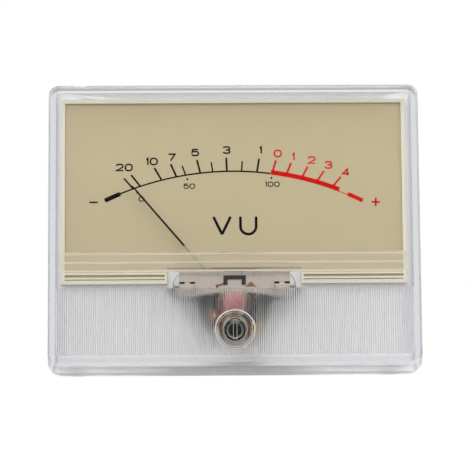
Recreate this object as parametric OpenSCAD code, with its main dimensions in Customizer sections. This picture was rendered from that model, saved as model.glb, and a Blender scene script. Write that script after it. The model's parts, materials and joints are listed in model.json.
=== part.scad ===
// Panel-mounted VU meter with a clear ribbed front, a printed dial and an open moving-coil
// movement. Seen from the front, +X is to the right, +Y is to the back and +Z is up. The
// origin is the centre of the four panel studs, in the plane where the flange meets a panel.

/* [Cover] */
// Width of the front cover
cover_w = 90; // [88:1:100]
// Height of the front cover
cover_h = 70; // [68:1:80]
// Depth of the front cover, from the panel to its front face
cover_d = 13; // [13:0.5:16]
// Thickness of the cover's front wall
front_t = 2; // [1.5:0.25:2]
// Thickness of the cover's side walls at the front
wall_t = 1.7; // [1.5:0.1:2.2]
// Radius of the cover's corners
corner_r = 2.6; // [1.6:0.2:4]
// How much narrower the cover is at its front, per side
draft = 0.3; // [0.1:0.1:0.8]
// Width of the round edge of the front face
edge_in = 0.5; // [0.3:0.1:0.8]
// Size of the sloping chin along the cover's lower edge
chin = 2.3; // [1.8:0.1:2.6]
// Width of each level groove across the front face
groove_w = 0.5; // [0.3:0.1:0.7]
// Depth of each level groove
groove_depth = 0.3; // [0.2:0.05:0.5]
// Distance between the level grooves
groove_pitch = 2.05; // [1.6:0.05:2.4]
// Height of the lowest level groove above the dial's lower edge
groove_rise = 1.65; // [1.4:0.05:2]
// Distance between the upright ribs of the front face
rib_pitch = 0.53; // [0.5:0.01:0.7]
// Depth of the ribs
rib_depth = 0.12; // [0.08:0.01:0.16]

/* [Base] */
// Thickness of the base flange
flange_t = 2.7; // [2.5:0.1:3]
// Outer radius of the round barrel behind the panel
barrel_r = 22; // [21.8:0.1:23]
// Length of the barrel behind the panel
barrel_d = 22; // [22:0.5:26]
// Wall of the barrel
barrel_wall = 1.8; // [1.5:0.1:2]
// Thickness of the barrel's end wall
rear_t = 2.5; // [2:0.25:3]
// Height of the barrel's axis above the pointer's pivot
barrel_rise = 8; // [7.8:0.1:8.2]
// Radius of the opening in the flange that the movement stands in
well_r = 10.6; // [10.4:0.1:11.4]

/* [Panel studs] */
// Distance of the studs in from the cover's left and right sides
stud_in_x = 7; // [6:0.5:9]
// Distance of the studs in from the cover's upper and lower sides
stud_in_z = 6.5; // [6:0.5:8]
// Radius of a panel stud
stud_r = 1.5; // [1.25:0.25:1.5]
// Length of a panel stud behind the panel plane
stud_len = 11; // [9:0.5:14]
// Radius of a panel stud's head in the flange
stud_head_r = 2.6; // [2.3:0.1:2.8]
// Thickness of a panel stud's head
stud_head_t = 1.2; // [1:0.1:1.4]
// Radius of the stud's collar inside the flange
stud_collar_r = 1.8; // [1.7:0.1:2]
// Thickness of the flange's skin over the moulded-in stud heads
stud_skin = 0.8; // [0.6:0.1:1]

/* [Dial] */
// Gap between the dial plate's left and right edges and the cover's walls
dial_side = 1.5; // [1:0.1:2.5]
// Gap between the dial plate's upper edge and the cover's wall
dial_top = 1; // [0.9:0.1:2]
// Height of the dial plate's lower edge above the pointer's pivot
dial_rise = 5.75; // [5.6:0.05:6]
// Thickness of the dial plate
dial_t = 0.8; // [0.5:0.1:0.9]
// Width of the notch that the movement shows through
notch_w = 32.7; // [31.7:0.1:34]
// Height of the notch
notch_h = 3.3; // [3.2:0.1:4]
// Width of the cream frame's side walls
frame_t = 0.6; // [0.5:0.1:0.7]
// How far the frame's lip laps the dial
lip_in = 0.25; // [0.2:0.05:0.5]
// Thickness of the frame's lip
lip_t = 0.6; // [0.4:0.1:0.8]
// Height of each level slat of the frame
slat_h = 0.5; // [0.4:0.05:0.6]
// Distance between the slats
slat_pitch = 1.1; // [1:0.05:1.2]

/* [Movement] */
// Height of the pointer's pivot above the zero adjuster's axis
lever_len = 6.75; // [6.6:0.05:7]
// Outer radius of the soft-iron yoke ring
yoke_r = 9.9; // [9.7:0.1:10.1]
// Inner radius of the yoke ring
yoke_bore_r = 6.5; // [6.4:0.1:6.8]
// Where the yoke ring starts, along Y
yoke_y0 = -2; // [-2.2:0.1:-1.8]
// Length of the yoke ring
yoke_len = 8.5; // [8:0.25:8.5]
// Radius of the yoke's ears
ear_r = 2.5; // [2.3:0.1:2.6]
// Sideways place of the ears and bridge screws
ear_x = 11.4; // [11.2:0.1:11.8]
// Height of the ears and bridge screws above the pivot
ear_rise = 4.7; // [4.5:0.1:5]
// Radius of the round core magnet
core_r = 4.5; // [4.2:0.1:4.6]
// Thickness of the front and rear bridges
bridge_t = 1; // [0.8:0.1:1.1]
// Where the front bridge's front face is, along Y
bridge_front_y = -8.4; // [-8.4:0.1:-8.2]
// Where the rear bridge's front face is, along Y
bridge_rear_y = 10.5; // [10.5:0.1:10.8]
// Height of the bridges' upper edge above their screws
bridge_up = 2.8; // [2.4:0.1:3]
// Radius of the jewel screws
jewel_screw_r = 1.2; // [1.1:0.05:1.25]
// Radius of the pivots
pivot_r = 0.3; // [0.25:0.05:0.35]
// Clearance between a pivot and its jewel
pivot_gap = 0.05; // [0.03:0.01:0.08]

/* [Moving coil and pointer] */
// Clear width inside the coil former, from the axis
coil_in = 4.9; // [4.85:0.05:5]
// Thickness of the aluminium coil former
former_t = 0.25; // [0.2:0.05:0.3]
// Thickness of the copper winding
winding_t = 0.75; // [0.6:0.05:0.8]
// Half width of the coil former
former_hw = 1.4; // [1.2:0.1:1.5]
// Half width of the winding
winding_hw = 1.1; // [0.9:0.1:1.15]
// Length of the pointer, from the pivot to its tip
pointer_len = 38; // [34:0.1:39]
// Width of the pointer at its root
pointer_w0 = 0.45; // [0.4:0.05:0.6]
// Width of the pointer at its tip
pointer_w1 = 0.28; // [0.2:0.02:0.36]
// Thickness of the pointer
pointer_t = 0.3; // [0.25:0.05:0.4]
// Angle of the pointer to the left of upright, as photographed
pointer_rest = 40.6; // [30:0.1:42]
// Largest angle of the pointer on each side of upright
pointer_limit = 44.1; // [43.5:0.1:45]

/* [Hairsprings] */
// Thickness of a hairspring's strip
spring_t = 0.12; // [0.1:0.01:0.15]
// Width of a hairspring's strip
spring_w = 0.3; // [0.2:0.05:0.35]
// Inner radius of a hairspring
spring_r0 = 1; // [0.98:0.01:1.05]
// Outer radius of a hairspring
spring_r1 = 3.7; // [3.5:0.05:3.75]
// Number of turns of a hairspring
spring_turns = 4.5; // [3.5:1:4.5]

/* [Zero adjuster] */
// Height of the zero adjuster's axis above the cover's lower edge
adjust_rise = 10.3; // [10:0.1:10.6]
// Radius of the adjuster's head
head_r = 4.85; // [4.6:0.05:5]
// Thickness of the adjuster's head
head_t = 1.2; // [1:0.1:1.4]
// Radius of the adjuster's shank
shank_r = 2.6; // [2.4:0.1:2.7]
// Running clearance around the adjuster
shank_gap = 0.06; // [0.04:0.01:0.1]
// Width of the screwdriver slot
slot_w = 0.8; // [0.7:0.1:1]
// Depth of the screwdriver slot
slot_depth = 0.8; // [0.6:0.1:0.9]
// Distance of the eccentric pin from the adjuster's axis
pin_e = 1; // [0.8:0.1:1.1]
// Radius of the eccentric pin
pin_r = 0.5; // [0.45:0.05:0.55]
// Clearance of the pin in the zero arm's fork, per side
fork_gap = 0.12; // [0.1:0.01:0.15]
// Thickness of the zero arm
arm_t = 0.4; // [0.3:0.05:0.4]

/* [Terminals] */
// Sideways place of each terminal
terminal_x = 9.5; // [9:0.1:10]
// Height of the terminals above the barrel's axis
terminal_rise = 10; // [9.5:0.1:10.5]
// Radius of a terminal stud
terminal_r = 2; // [1.75:0.25:2]
// Length of a terminal stud behind the barrel
terminal_len = 11; // [10:0.5:14]

/* [Hidden] */
$fn = 64;

// Small amounts: a cut's overrun, and the clearance between pieces that slip together
cut = 0.1;
slip = 0.05;

// Planes of the cover and the flange, along Y
front_y = -cover_d;
inner_y = front_y + front_t;
flange_y = -flange_t;
cavity_w = cover_w - 2 * (wall_t + draft);
cavity_h = cover_h - 2 * (wall_t + draft);
cavity_r = corner_r - wall_t;
flange_gap = 0.1;

// Heights of the main axes, one from another
adjust_z = adjust_rise - cover_h / 2;
pivot_z = adjust_z + lever_len;
ear_z = pivot_z + ear_rise;
barrel_z = pivot_z + barrel_rise;
terminal_z = barrel_z + terminal_rise;
stud_dx = cover_w - 2 * stud_in_x;
stud_dz = cover_h - 2 * stud_in_z;

// Ribbed area of the front face
rib_low = 5.95;
rib_high = 9.95;
rib_crest = 0.02;
rib_count = floor(cavity_w / rib_pitch);

rear_y = barrel_d - rear_t;
stud_head_y = flange_y + stud_skin;
well_lobe = 1.1;
bore_r = barrel_r - barrel_wall;

// Snap tongues on the flange's upper and lower edges
snap_w = 8;
snap_out = 0.5;
snap_t = 1;
snap_side = 17;
snap_x = cover_w / 2 - snap_side;

// Dial plate, its frame and its planes along Y
dial_w = cavity_w - 2 * dial_side;
dial_z0 = pivot_z + dial_rise;
dial_z1 = cavity_h / 2 - dial_top;
groove_z = dial_z0 + groove_rise;
dial_front_y = flange_y - dial_t;
lip_y = dial_front_y - lip_t;
dial_gap = 0.1;
slat_rise = 0.45;
slat_z0 = dial_z0 + slat_rise;
slat_post = 0.6;
frame_drop = 2;
tab_w = 6;
tab_h = 1.2;
tab_side = 11.5;
tab_x = dial_w / 2 - tab_side;
tab_z = 14;

// Bridges, pillars and screws
bridge_back_y = bridge_front_y + bridge_t;
bridge_end_y = bridge_rear_y + bridge_t;
yoke_y1 = yoke_y0 + yoke_len;
screw_r = 0.95;
screw_head_r = 1.9;
screw_head_t = 1.3;
screw_hole_r = screw_r + 0.1;
pillar_r = 1.7;
boss_r = 3;
screw_grip = 5;
screw_end_y = bridge_end_y + screw_grip;
screw_slot_w = 0.5;
screw_slot_depth = 0.5;
bridge_side = 2;
bridge_ear_x = ear_x + bridge_side;
bridge_top_z = ear_z + bridge_up;
bridge_down = 3.3;
bridge_low_z = ear_z - bridge_down;
bridge_corner = 1.4;
bridge_arch = 2.2;
bridge_arch_r = 55;
bridge_hub_r = 3.4;
yoke_shoulder = 2;

// Core, coil and the staff along the pivot axis
core_out = 1.6;
core_y0 = yoke_y0 - core_out;
core_y1 = yoke_y1 - 0.1;
coil_room = 0.8;
coil_y0 = core_y0 - coil_room;
coil_y1 = core_y1 + coil_room;
winding_y0 = coil_y0 - former_t - winding_t;
winding_y1 = coil_y1 + former_t + winding_t;
support_w = 2;
support_inset = 1;
hub_t = 1.2;
hub_y = winding_y0 - hub_t;
hub_r = 1.6;
collet_r = spring_r0 - 0.1;
collet_len = 0.5;
collet_y = hub_y - collet_len;
jewel_gap = 0.1;
jewel_y = collet_y - jewel_gap;
jewel_r = 0.8;
jewel_t = 1;
jewel_hole = 0.75;
pin_in = 0.6;
jewel_screw_out = 2;
jewel_screw_y0 = bridge_front_y - jewel_screw_out;
seat_t = 0.6;
rear_seat_y = winding_y1 + seat_t;
rear_collet_y = rear_seat_y + 0.8;
rear_jewel_y = rear_collet_y + jewel_gap + slip;
insulator_t = 0.3;
tag_t = 0.3;
nut_t = 0.95;
tag_y = bridge_end_y + insulator_t;
rear_nut_y = tag_y + tag_t;
rear_screw_y1 = rear_nut_y + nut_t + 0.4;
nut_r = 2.3;
nut_flats = 6;
driver_slot_w = 0.45;
driver_slot_depth = 0.5;

// Pointer, its counterweights and stops
pointer_y = hub_y + hub_t / 2;
needle_root = hub_r - 0.2;
tail_len = 6.4;
tail_w = 0.8;
side_len = 4.4;
socket_len = 1.6;
tail_weight_r = 1.08;
tail_weight_len = 2;
side_weight_r = 0.57;
side_weight_len = 1.4;
stop_r = 0.5;
stop_at = 9;
stop_gap = 0.2;
stop_over = 0.6;
stop_angle = pointer_limit + asin((stop_r + pointer_w0 / 2 + stop_gap) / stop_at);

// Hairsprings and what holds their outer ends
spring_y = collet_y + 0.1;
rear_spring_y = rear_seat_y + 0.2;
spring_pitch = (spring_r1 - spring_r0) / spring_turns;
spring_steps = 28;
anchor_t = 0.35;
anchor_w = 1.2;
anchor_r = spring_r1 + spring_t;

// Zero arm and the adjuster's parts, along Y
arm_gap = 0.05;
arm_y1 = bridge_front_y - arm_gap;
arm_y0 = arm_y1 - arm_t;
nut_y0 = arm_y0 - arm_gap - nut_t;
arm_ring_r = 2.4;
arm_w = 1.6;
fork_w = 3;
fork_web = 0.5;
fork_over = 0.6;
fork_reach = 1.1;
fork_top = adjust_z + pin_e + pin_r + fork_over;
fork_end = adjust_z + pin_e - pin_r - fork_reach;
tag_reach = 5.5;
tag_hole = 0.3;
head_y = front_y;
boss_len = 1.1;
boss_y = inner_y + boss_len;
boss_wall = 1.3;
clip_t = 0.4;
clip_r = 3.7;
clip_groove_r = 2;
clip_mouth = 2.2;
clip_y0 = boss_y + slip;
clip_y1 = clip_y0 + clip_t;
shank_y = clip_y1 + 0.15;
pin_y = arm_y1 - slip;
hub_ring_r = 2.9;
hub_ring_t = 0.35;
dish_depth = 0.5;

// Small black block, the lead and the copper tag beside it, on the front bridge
block_w = 5.4;
block_t = 0.9;
block_h = 0.9;
leg_w = 1;
leg_len = 1.3;
block_rise = 1.85;
block_z = ear_z + block_rise;
lead_r = 0.2;
lead_out = 1.3;
lead_drop = 0.5;
solder_r = 0.4;
copper_x = 3.9;
copper_rise = 0.4;
copper_h = 1.2;
copper_hw = 1.3;

// Terminals
t_head_r = 3.2;
t_head_t = 1.8;
washer_r = 3.9;
washer_t = 0.8;
lug_t = 0.5;
lug_w = 5;
lug_len = 11;
lug_hole_r = 0.9;
t_nut_r = 4;
t_nut_t = 3.2;
strap_t = 0.3;
strap_w = 2;
strap_tag_x = 4.5;
strap_bridge_x = -7;
strap_foot = 2;

echo(hairspring_gap = spring_pitch - spring_t);

// Extrudes an outline drawn as seen from the front, from y0 back to y1
module slab(y0, y1) {
    translate([0, y1, 0]) rotate([90, 0, 0]) linear_extrude(y1 - y0) children();
}

// A round rod along Y
module rod(r, y0, y1, x = 0, z = 0) {
    translate([x, y1, z]) rotate([90, 0, 0]) cylinder(r = r, h = y1 - y0);
}

// A rectangle with round corners, centred at the origin
module rounded(w, h, r) {
    square([w - 2 * r, h], center = true);
    square([w, h - 2 * r], center = true);
    for (x = [-1, 1], z = [-1, 1])
        translate([x * (w / 2 - r), z * (h / 2 - r)]) circle(r);
}

// A box given by its lowest and highest corners
module box(a, b) {
    translate(a) cube(b - a);
}

// Places its children at both ears of the movement
module at_ears() {
    for (side = [-1, 1])
        translate([side * ear_x, 0, ear_z]) children();
}

// Places its children at the four panel studs
module at_studs() {
    for (x = [-1, 1], z = [-1, 1])
        translate([x * stud_dx / 2, 0, z * stud_dz / 2]) children();
}

// Places its children at both terminals
module at_terminals() {
    for (side = [-1, 1])
        translate([side * terminal_x, 0, terminal_z]) children();
}

// Turns its children, drawn with the pointer upright, to the photographed reading
module at_reading() {
    translate([0, 0, pivot_z]) rotate([0, -pointer_rest, 0]) children();
}

// ---------------------------------------------------------------- cover and base

// The cover's outline at one depth, with its lower edge raised
module cover_section(y0, y1, in, rise) {
    w = cover_w - 2 * in;
    h = cover_h - 2 * in - rise;
    translate([0, 0, rise / 2]) slab(y0, y1) rounded(w, h, corner_r - in / 2, $fn = 32);
}

// The cover's outside: a drafted block with a small front edge and a sloping chin
module cover_outside() {
    side_y = front_y + edge_in + 0.2;
    chin_y = front_y + chin;
    hull() {
        cover_section(-0.5, 0, 0, 0);
        cover_section(chin_y, chin_y + 0.1, draft, 0);
        cover_section(side_y, side_y + 0.1, draft, chin - edge_in);
        cover_section(front_y, front_y + 0.1, draft + edge_in, chin - edge_in);
    }
}

// The tongue pockets that hold the flange in the cover
module snap_tongues(grow) {
    z_in = cavity_h / 2 - 1;
    z_out = cavity_h / 2 + snap_out + grow;
    for (x = [-snap_x, snap_x], side = [0, 1])
        mirror([0, 0, side])
            box([x - snap_w / 2 - grow, flange_y / 2 - snap_t / 2 - grow, z_in],
                [x + snap_w / 2 + grow, flange_y / 2 + snap_t / 2 + grow, z_out]);
}

// Three level V grooves across the front face, over the dial
module level_grooves() {
    for (i = [0:2])
        translate([0, front_y, groove_z + i * groove_pitch])
            rotate([90, 0, 90])
                linear_extrude(dial_w, center = true)
                    polygon([[-cut, -groove_w / 2 - cut], [groove_depth, 0],
                        [-cut, groove_w / 2 + cut]]);
}

// Fine upright ribs over the lower part of the front face
module upright_ribs() {
    x0 = -rib_count * rib_pitch / 2;
    teeth = [for (i = [0:2 * rib_count]) [x0 + i * rib_pitch / 2, i % 2 == 0 ? rib_crest : rib_depth]];
    translate([0, front_y, adjust_z - rib_low]) linear_extrude(rib_low + rib_high)
        polygon(concat([[x0, -cut]], teeth, [[-x0, -cut]]));
}

module front_cover() {
    color([0.86, 0.88, 0.9, 0.5]) difference() {
        union() {
            difference() {
                cover_outside();
                slab(inner_y, cut) rounded(cavity_w, cavity_h, cavity_r);
            }
            rod(shank_r + boss_wall, inner_y - cut, boss_y, 0, adjust_z);
        }
        level_grooves();
        upright_ribs();
        snap_tongues(slip);
        rod(head_r + shank_gap, front_y - cut, front_y + head_t, 0, adjust_z);
        rod(shank_r + shank_gap, front_y - cut, boss_y + cut, 0, adjust_z);
    }
}

// The opening in the flange: the round well and a lobe for each ear
module well() {
    slab(flange_y - cut, cut) {
        translate([0, pivot_z]) circle(well_r);
        for (side = [-1, 1])
            translate([side * ear_x, ear_z]) circle(ear_r + well_lobe);
    }
}

module base_housing() {
    color([0.9, 0.9, 0.89]) difference() {
        union() {
            slab(flange_y, 0)
                rounded(cavity_w - 2 * flange_gap, cavity_h - 2 * flange_gap, cavity_r);
            snap_tongues(0);
            difference() {
                rod(barrel_r, -cut, barrel_d, 0, barrel_z);
                rod(bore_r, 0, rear_y, 0, barrel_z);
            }
            at_ears() rod(boss_r, bridge_end_y, rear_y + cut);
        }
        well();
        at_ears() rod(screw_r + slip, bridge_end_y - cut, screw_end_y + 0.5);
        at_studs() {
            rod(stud_collar_r + slip, stud_head_y, cut);
            rod(stud_head_r + slip, stud_head_y - slip, stud_head_y + stud_head_t + slip);
        }
        at_terminals() rod(terminal_r + slip, rear_y - cut, barrel_d + cut);
        for (side = [-1, 1], z = [0, 1])
            box([side * tab_x - tab_w / 2 - slip, flange_y - cut, z * tab_z - slip],
                [side * tab_x + tab_w / 2 + slip, cut, z * tab_z + tab_h + slip]);
    }
}

module panel_studs() {
    color("silver") at_studs() {
        rod(stud_head_r, stud_head_y, stud_head_y + stud_head_t);
        rod(stud_collar_r, stud_head_y + stud_head_t, 0);
        rod(stud_r, 0, stud_len);
    }
}

// ---------------------------------------------------------------- dial

module dial_outline(grow) {
    translate([-dial_w / 2 - grow, dial_z0 - grow])
        square([dial_w + 2 * grow, dial_z1 - dial_z0 + 2 * grow]);
}

module dial_plate() {
    color([0.77, 0.71, 0.6]) {
        slab(dial_front_y, flange_y) difference() {
            dial_outline(0);
            translate([-notch_w / 2, dial_z0 - cut]) square([notch_w, notch_h + cut]);
        }
        for (side = [-1, 1], z = [0, 1])
            box([side * tab_x - tab_w / 2, flange_y, z * tab_z],
                [side * tab_x + tab_w / 2, -slip, z * tab_z + tab_h]);
    }
}

// The cream frame that laps the dial's edge, with two level slats over its lower part
module dial_frame() {
    color([0.88, 0.86, 0.79]) {
        slab(lip_y, flange_y) difference() {
            dial_outline(dial_gap + frame_t);
            dial_outline(dial_gap);
            translate([-notch_w / 2, dial_z0 - frame_drop]) square([notch_w, notch_h]);
        }
        slab(lip_y, dial_front_y) difference() {
            dial_outline(dial_gap);
            dial_outline(-lip_in);
            translate([-notch_w / 2, dial_z0 - frame_drop]) square([notch_w, notch_h]);
        }
        for (side = [0, 1], i = [0, 1])
            mirror([side, 0, 0])
                box([notch_w / 2, lip_y, slat_z0 + i * slat_pitch],
                    [dial_w / 2 + dial_gap, dial_front_y, slat_z0 + i * slat_pitch + slat_h]);
        for (side = [0, 1])
            mirror([side, 0, 0])
                box([notch_w / 2, lip_y, dial_z0 - dial_gap - frame_t],
                    [notch_w / 2 + slat_post, dial_front_y, slat_z0 + slat_pitch + slat_h]);
    }
}

// ---------------------------------------------------------------- zero adjuster

module zero_adjuster() {
    color([0.8, 0.82, 0.84, 0.7]) difference() {
        union() {
            rod(head_r, head_y, head_y + head_t, 0, adjust_z);
            rod(shank_r, head_y, clip_y0, 0, adjust_z);
            rod(clip_groove_r, clip_y0, clip_y1, 0, adjust_z);
            rod(shank_r, clip_y1, shank_y, 0, adjust_z);
            rod(pin_r, shank_y, pin_y, 0, adjust_z + pin_e);
        }
        difference() {
            rod(head_r - hub_ring_t * 2, head_y - cut, head_y + dish_depth, 0, adjust_z);
            rod(hub_ring_r, head_y - cut, head_y + dish_depth + cut, 0, adjust_z);
        }
        box([-slot_w / 2, head_y - cut, adjust_z - shank_r + hub_ring_t],
            [slot_w / 2, head_y + slot_depth, adjust_z + shank_r - hub_ring_t]);
    }
}

// Open spring clip in the shank's groove, behind the cover's boss
module adjuster_clip() {
    color("silver") difference() {
        rod(clip_r, clip_y0, clip_y1, 0, adjust_z);
        rod(clip_groove_r + slip, clip_y0 - cut, clip_y1 + cut, 0, adjust_z);
        box([-clip_mouth / 2, clip_y0 - cut, adjust_z],
            [clip_mouth / 2, clip_y1 + cut, adjust_z + clip_r + cut]);
    }
}

// Brass arm that turns about the front jewel screw: a fork below takes the eccentric pin,
// and a bent tab behind the bridge holds the hairspring's outer end
module zero_arm() {
    tab_z1 = pivot_z - anchor_r;
    color([0.85, 0.65, 0.3]) {
        slab(arm_y0, arm_y1) difference() {
            union() {
                translate([0, pivot_z]) circle(arm_ring_r);
                translate([-arm_w / 2, fork_top]) square([arm_w, pivot_z - fork_top]);
                translate([-fork_w / 2, fork_end]) square([fork_w, fork_top - fork_end]);
            }
            translate([0, pivot_z]) circle(jewel_screw_r + slip);
            translate([-pin_r - fork_gap, fork_end - cut])
                square([2 * (pin_r + fork_gap), fork_top - fork_web - fork_end + cut]);
        }
        box([-anchor_w / 2, arm_y1, tab_z1 - anchor_t],
            [anchor_w / 2, spring_y + spring_w, tab_z1]);
    }
}

// ---------------------------------------------------------------- movement frame

module yoke_ring() {
    color([0.45, 0.46, 0.48]) difference() {
        union() {
            rod(yoke_r, yoke_y0, yoke_y1, 0, pivot_z);
            at_ears() rod(ear_r, yoke_y0, yoke_y1);
            for (side = [-1, 1])
                slab(yoke_y0, yoke_y1)
                    polygon([[side * ear_x, ear_z + ear_r], [side * ear_x, ear_z - ear_r],
                        [side * yoke_r / 2, pivot_z], [side * yoke_bore_r, ear_z + ear_r - yoke_shoulder]]);
        }
        rod(yoke_bore_r, yoke_y0 - cut, yoke_y1 + cut, 0, pivot_z);
        at_ears() rod(screw_hole_r, yoke_y0 - cut, yoke_y1 + cut);
    }
}

module core_magnet() {
    color([0.3, 0.3, 0.33]) rod(core_r, core_y0, core_y1, 0, pivot_z);
}

// Two non-magnetic blocks that carry the core inside the yoke, above and below the coil
module core_supports() {
    color([0.8, 0.65, 0.35])
        for (side = [-1, 1])
            intersection() {
                difference() {
                    rod(yoke_bore_r, yoke_y0 + support_inset, yoke_y1 - support_inset, 0, pivot_z);
                    rod(core_r, yoke_y0, yoke_y1, 0, pivot_z);
                }
                box([-support_w / 2, yoke_y0, min(pivot_z, pivot_z + side * yoke_r)],
                    [support_w / 2, yoke_y1, max(pivot_z, pivot_z + side * yoke_r)]);
            }
}

module pillars(y0, y1) {
    at_ears() difference() {
        rod(pillar_r, y0, y1);
        rod(screw_hole_r, y0 - cut, y1 + cut);
    }
}

module front_pillars() {
    color("silver") pillars(bridge_back_y, yoke_y0);
}

module rear_pillars() {
    color("silver") pillars(yoke_y1, bridge_rear_y);
}

// Bridge outline: a plate with an arched lower edge, and a round hub about the pivot
module bridge_outline() {
    union() {
        difference() {
            translate([-bridge_ear_x, bridge_low_z])
                square([2 * bridge_ear_x, bridge_top_z - bridge_low_z]);
            translate([0, ear_z - bridge_arch - bridge_arch_r]) circle(bridge_arch_r, $fn = 128);
            for (side = [-1, 1])
                translate([side * bridge_ear_x, bridge_low_z])
                    rotate(45) square(bridge_corner * sqrt(2), center = true);
        }
        translate([0, pivot_z]) circle(bridge_hub_r);
    }
}

module bridge(y0) {
    slab(y0, y0 + bridge_t) difference() {
        bridge_outline();
        translate([0, pivot_z]) circle(jewel_screw_r + slip);
        for (side = [-1, 1])
            translate([side * ear_x, ear_z]) circle(screw_hole_r);
    }
}

module front_bridge() {
    color([0.78, 0.76, 0.75]) bridge(bridge_front_y);
}

module rear_bridge() {
    color([0.78, 0.76, 0.75]) bridge(bridge_rear_y);
}

// Long slotted screws that clamp the bridges, pillars and yoke to the base
module bridge_screws() {
    head_y0 = bridge_front_y - screw_head_t;
    color([0.6, 0.6, 0.62]) at_ears() difference() {
        union() {
            rod(screw_head_r, head_y0, bridge_front_y);
            rod(screw_r, bridge_front_y, screw_end_y);
        }
        box([-screw_head_r - cut, head_y0 - cut, -screw_slot_w / 2],
            [screw_head_r + cut, head_y0 + screw_slot_depth, screw_slot_w / 2]);
    }
}

// ---------------------------------------------------------------- bearings and springs

module front_jewel_screw() {
    color([0.8, 0.7, 0.45]) difference() {
        rod(jewel_screw_r, jewel_screw_y0, jewel_y, 0, pivot_z);
        rod(jewel_r, jewel_y - jewel_t, jewel_y + cut, 0, pivot_z);
        box([-jewel_screw_r - cut, jewel_screw_y0 - cut, pivot_z - driver_slot_w / 2],
            [jewel_screw_r + cut, jewel_screw_y0 + driver_slot_depth, pivot_z + driver_slot_w / 2]);
    }
}

module rear_jewel_screw() {
    color([0.8, 0.7, 0.45]) difference() {
        rod(jewel_screw_r, rear_jewel_y, rear_screw_y1, 0, pivot_z);
        rod(jewel_r, rear_jewel_y - cut, rear_jewel_y + jewel_t, 0, pivot_z);
    }
}

module front_jewel() {
    color([0.75, 0.1, 0.2]) difference() {
        rod(jewel_r, jewel_y - jewel_t, jewel_y, 0, pivot_z);
        rod(pivot_r + pivot_gap, jewel_y - jewel_hole, jewel_y + cut, 0, pivot_z);
    }
}

module rear_jewel() {
    color([0.75, 0.1, 0.2]) difference() {
        rod(jewel_r, rear_jewel_y, rear_jewel_y + jewel_t, 0, pivot_z);
        rod(pivot_r + pivot_gap, rear_jewel_y - cut, rear_jewel_y + jewel_hole, 0, pivot_z);
    }
}

module lock_nut(y0) {
    slab(y0, y0 + nut_t) translate([0, pivot_z]) difference() {
        circle(nut_r, $fn = nut_flats);
        circle(jewel_screw_r + 0.02);
    }
}

module front_lock_nut() {
    color([0.8, 0.35, 0.35]) lock_nut(nut_y0);
}

module rear_lock_nut() {
    color([0.8, 0.7, 0.45]) lock_nut(rear_nut_y);
}

// Fibre washer that keeps the rear spring tag off the bridge
module tag_insulator() {
    color([0.45, 0.2, 0.12]) slab(bridge_end_y, tag_y) translate([0, pivot_z]) difference() {
        circle(arm_ring_r + 0.3);
        circle(jewel_screw_r + slip);
    }
}

// Tag under the rear nut: its foot reaches forward below the bridge to the rear hairspring
module rear_spring_tag() {
    foot_z = pivot_z - anchor_r;
    color([0.85, 0.65, 0.3]) {
        slab(tag_y, rear_nut_y) difference() {
            union() {
                translate([0, pivot_z]) circle(arm_ring_r);
                translate([-anchor_w / 2, foot_z - anchor_t])
                    square([anchor_w, pivot_z - foot_z + anchor_t]);
                translate([0, pivot_z - strap_w / 2]) square([tag_reach, strap_w]);
            }
            translate([0, pivot_z]) circle(jewel_screw_r + tag_hole);
        }
        box([-anchor_w / 2, rear_spring_y, foot_z - anchor_t], [anchor_w / 2, tag_y, foot_z]);
    }
}

// Points of a flat spiral, from its inner end round to straight below the axis
function spiral_r(t) = spring_r0 + spring_pitch * t;
function spiral_point(t, off) = let (a = -90 - 360 * (spring_turns - t))
    [(spiral_r(t) + off) * cos(a), (spiral_r(t) + off) * sin(a)];

module hairspring(y0) {
    steps = spring_steps * spring_turns;
    inner = [for (i = [0:steps]) spiral_point(i / spring_steps, 0)];
    outer = [for (i = [steps:-1:0]) spiral_point(i / spring_steps, spring_t)];
    slab(y0, y0 + spring_w) translate([0, pivot_z]) polygon(concat(inner, outer));
}

module front_hairspring() {
    color([0.75, 0.6, 0.4]) hairspring(spring_y);
}

module rear_hairspring() {
    color([0.75, 0.6, 0.4]) hairspring(rear_spring_y);
}

// Black moulded block with two legs, standing on the face of the front bridge
module bridge_block() {
    color([0.12, 0.12, 0.13]) slab(bridge_front_y - block_t, bridge_front_y) difference() {
        translate([-block_w / 2, block_z - block_h - leg_len]) square([block_w, block_h + leg_len]);
        translate([-block_w / 2 + leg_w, block_z - block_h - leg_len - cut])
            square([block_w - 2 * leg_w, leg_len + cut]);
    }
}

// A rod between two points of the plane at height y
module wire(a, b, y) {
    d = b - a;
    translate([a[0], y, a[1]]) rotate([0, atan2(d[0], d[1]), 0]) cylinder(r = lead_r, h = norm(d));
}

// Copper lead from the block's left leg to a solder joint, and a copper tag beside the block
module front_lead() {
    y = bridge_front_y - lead_r;
    a = [-block_w / 2 - lead_r, block_z - block_h - leg_len + lead_r];
    b = [a[0] - lead_out, a[1] - lead_drop];
    color([0.8, 0.5, 0.3]) {
        wire(a, b, y);
        translate([a[0], y, a[1]]) sphere(lead_r);
        rod(solder_r, bridge_front_y - 2 * lead_r, bridge_front_y, b[0], b[1]);
        slab(bridge_front_y - tag_t, bridge_front_y) translate([copper_x, ear_z + copper_rise])
            polygon([[0, 0], [copper_hw, -copper_h], [-copper_hw, -copper_h]]);
    }
}

// ---------------------------------------------------------------- moving parts

// Rectangular hoop around the core, drawn for an upright pointer
module hoop(in_x, y0, y1, t, hw) {
    difference() {
        box([-in_x - t, y0 - t, -hw], [in_x + t, y1 + t, hw]);
        box([-in_x, y0, -hw - cut], [in_x, y1, hw + cut]);
    }
}

module coil_former() {
    color([0.75, 0.77, 0.8]) at_reading() hoop(coil_in, coil_y0, coil_y1, former_t, former_hw);
}

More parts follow.
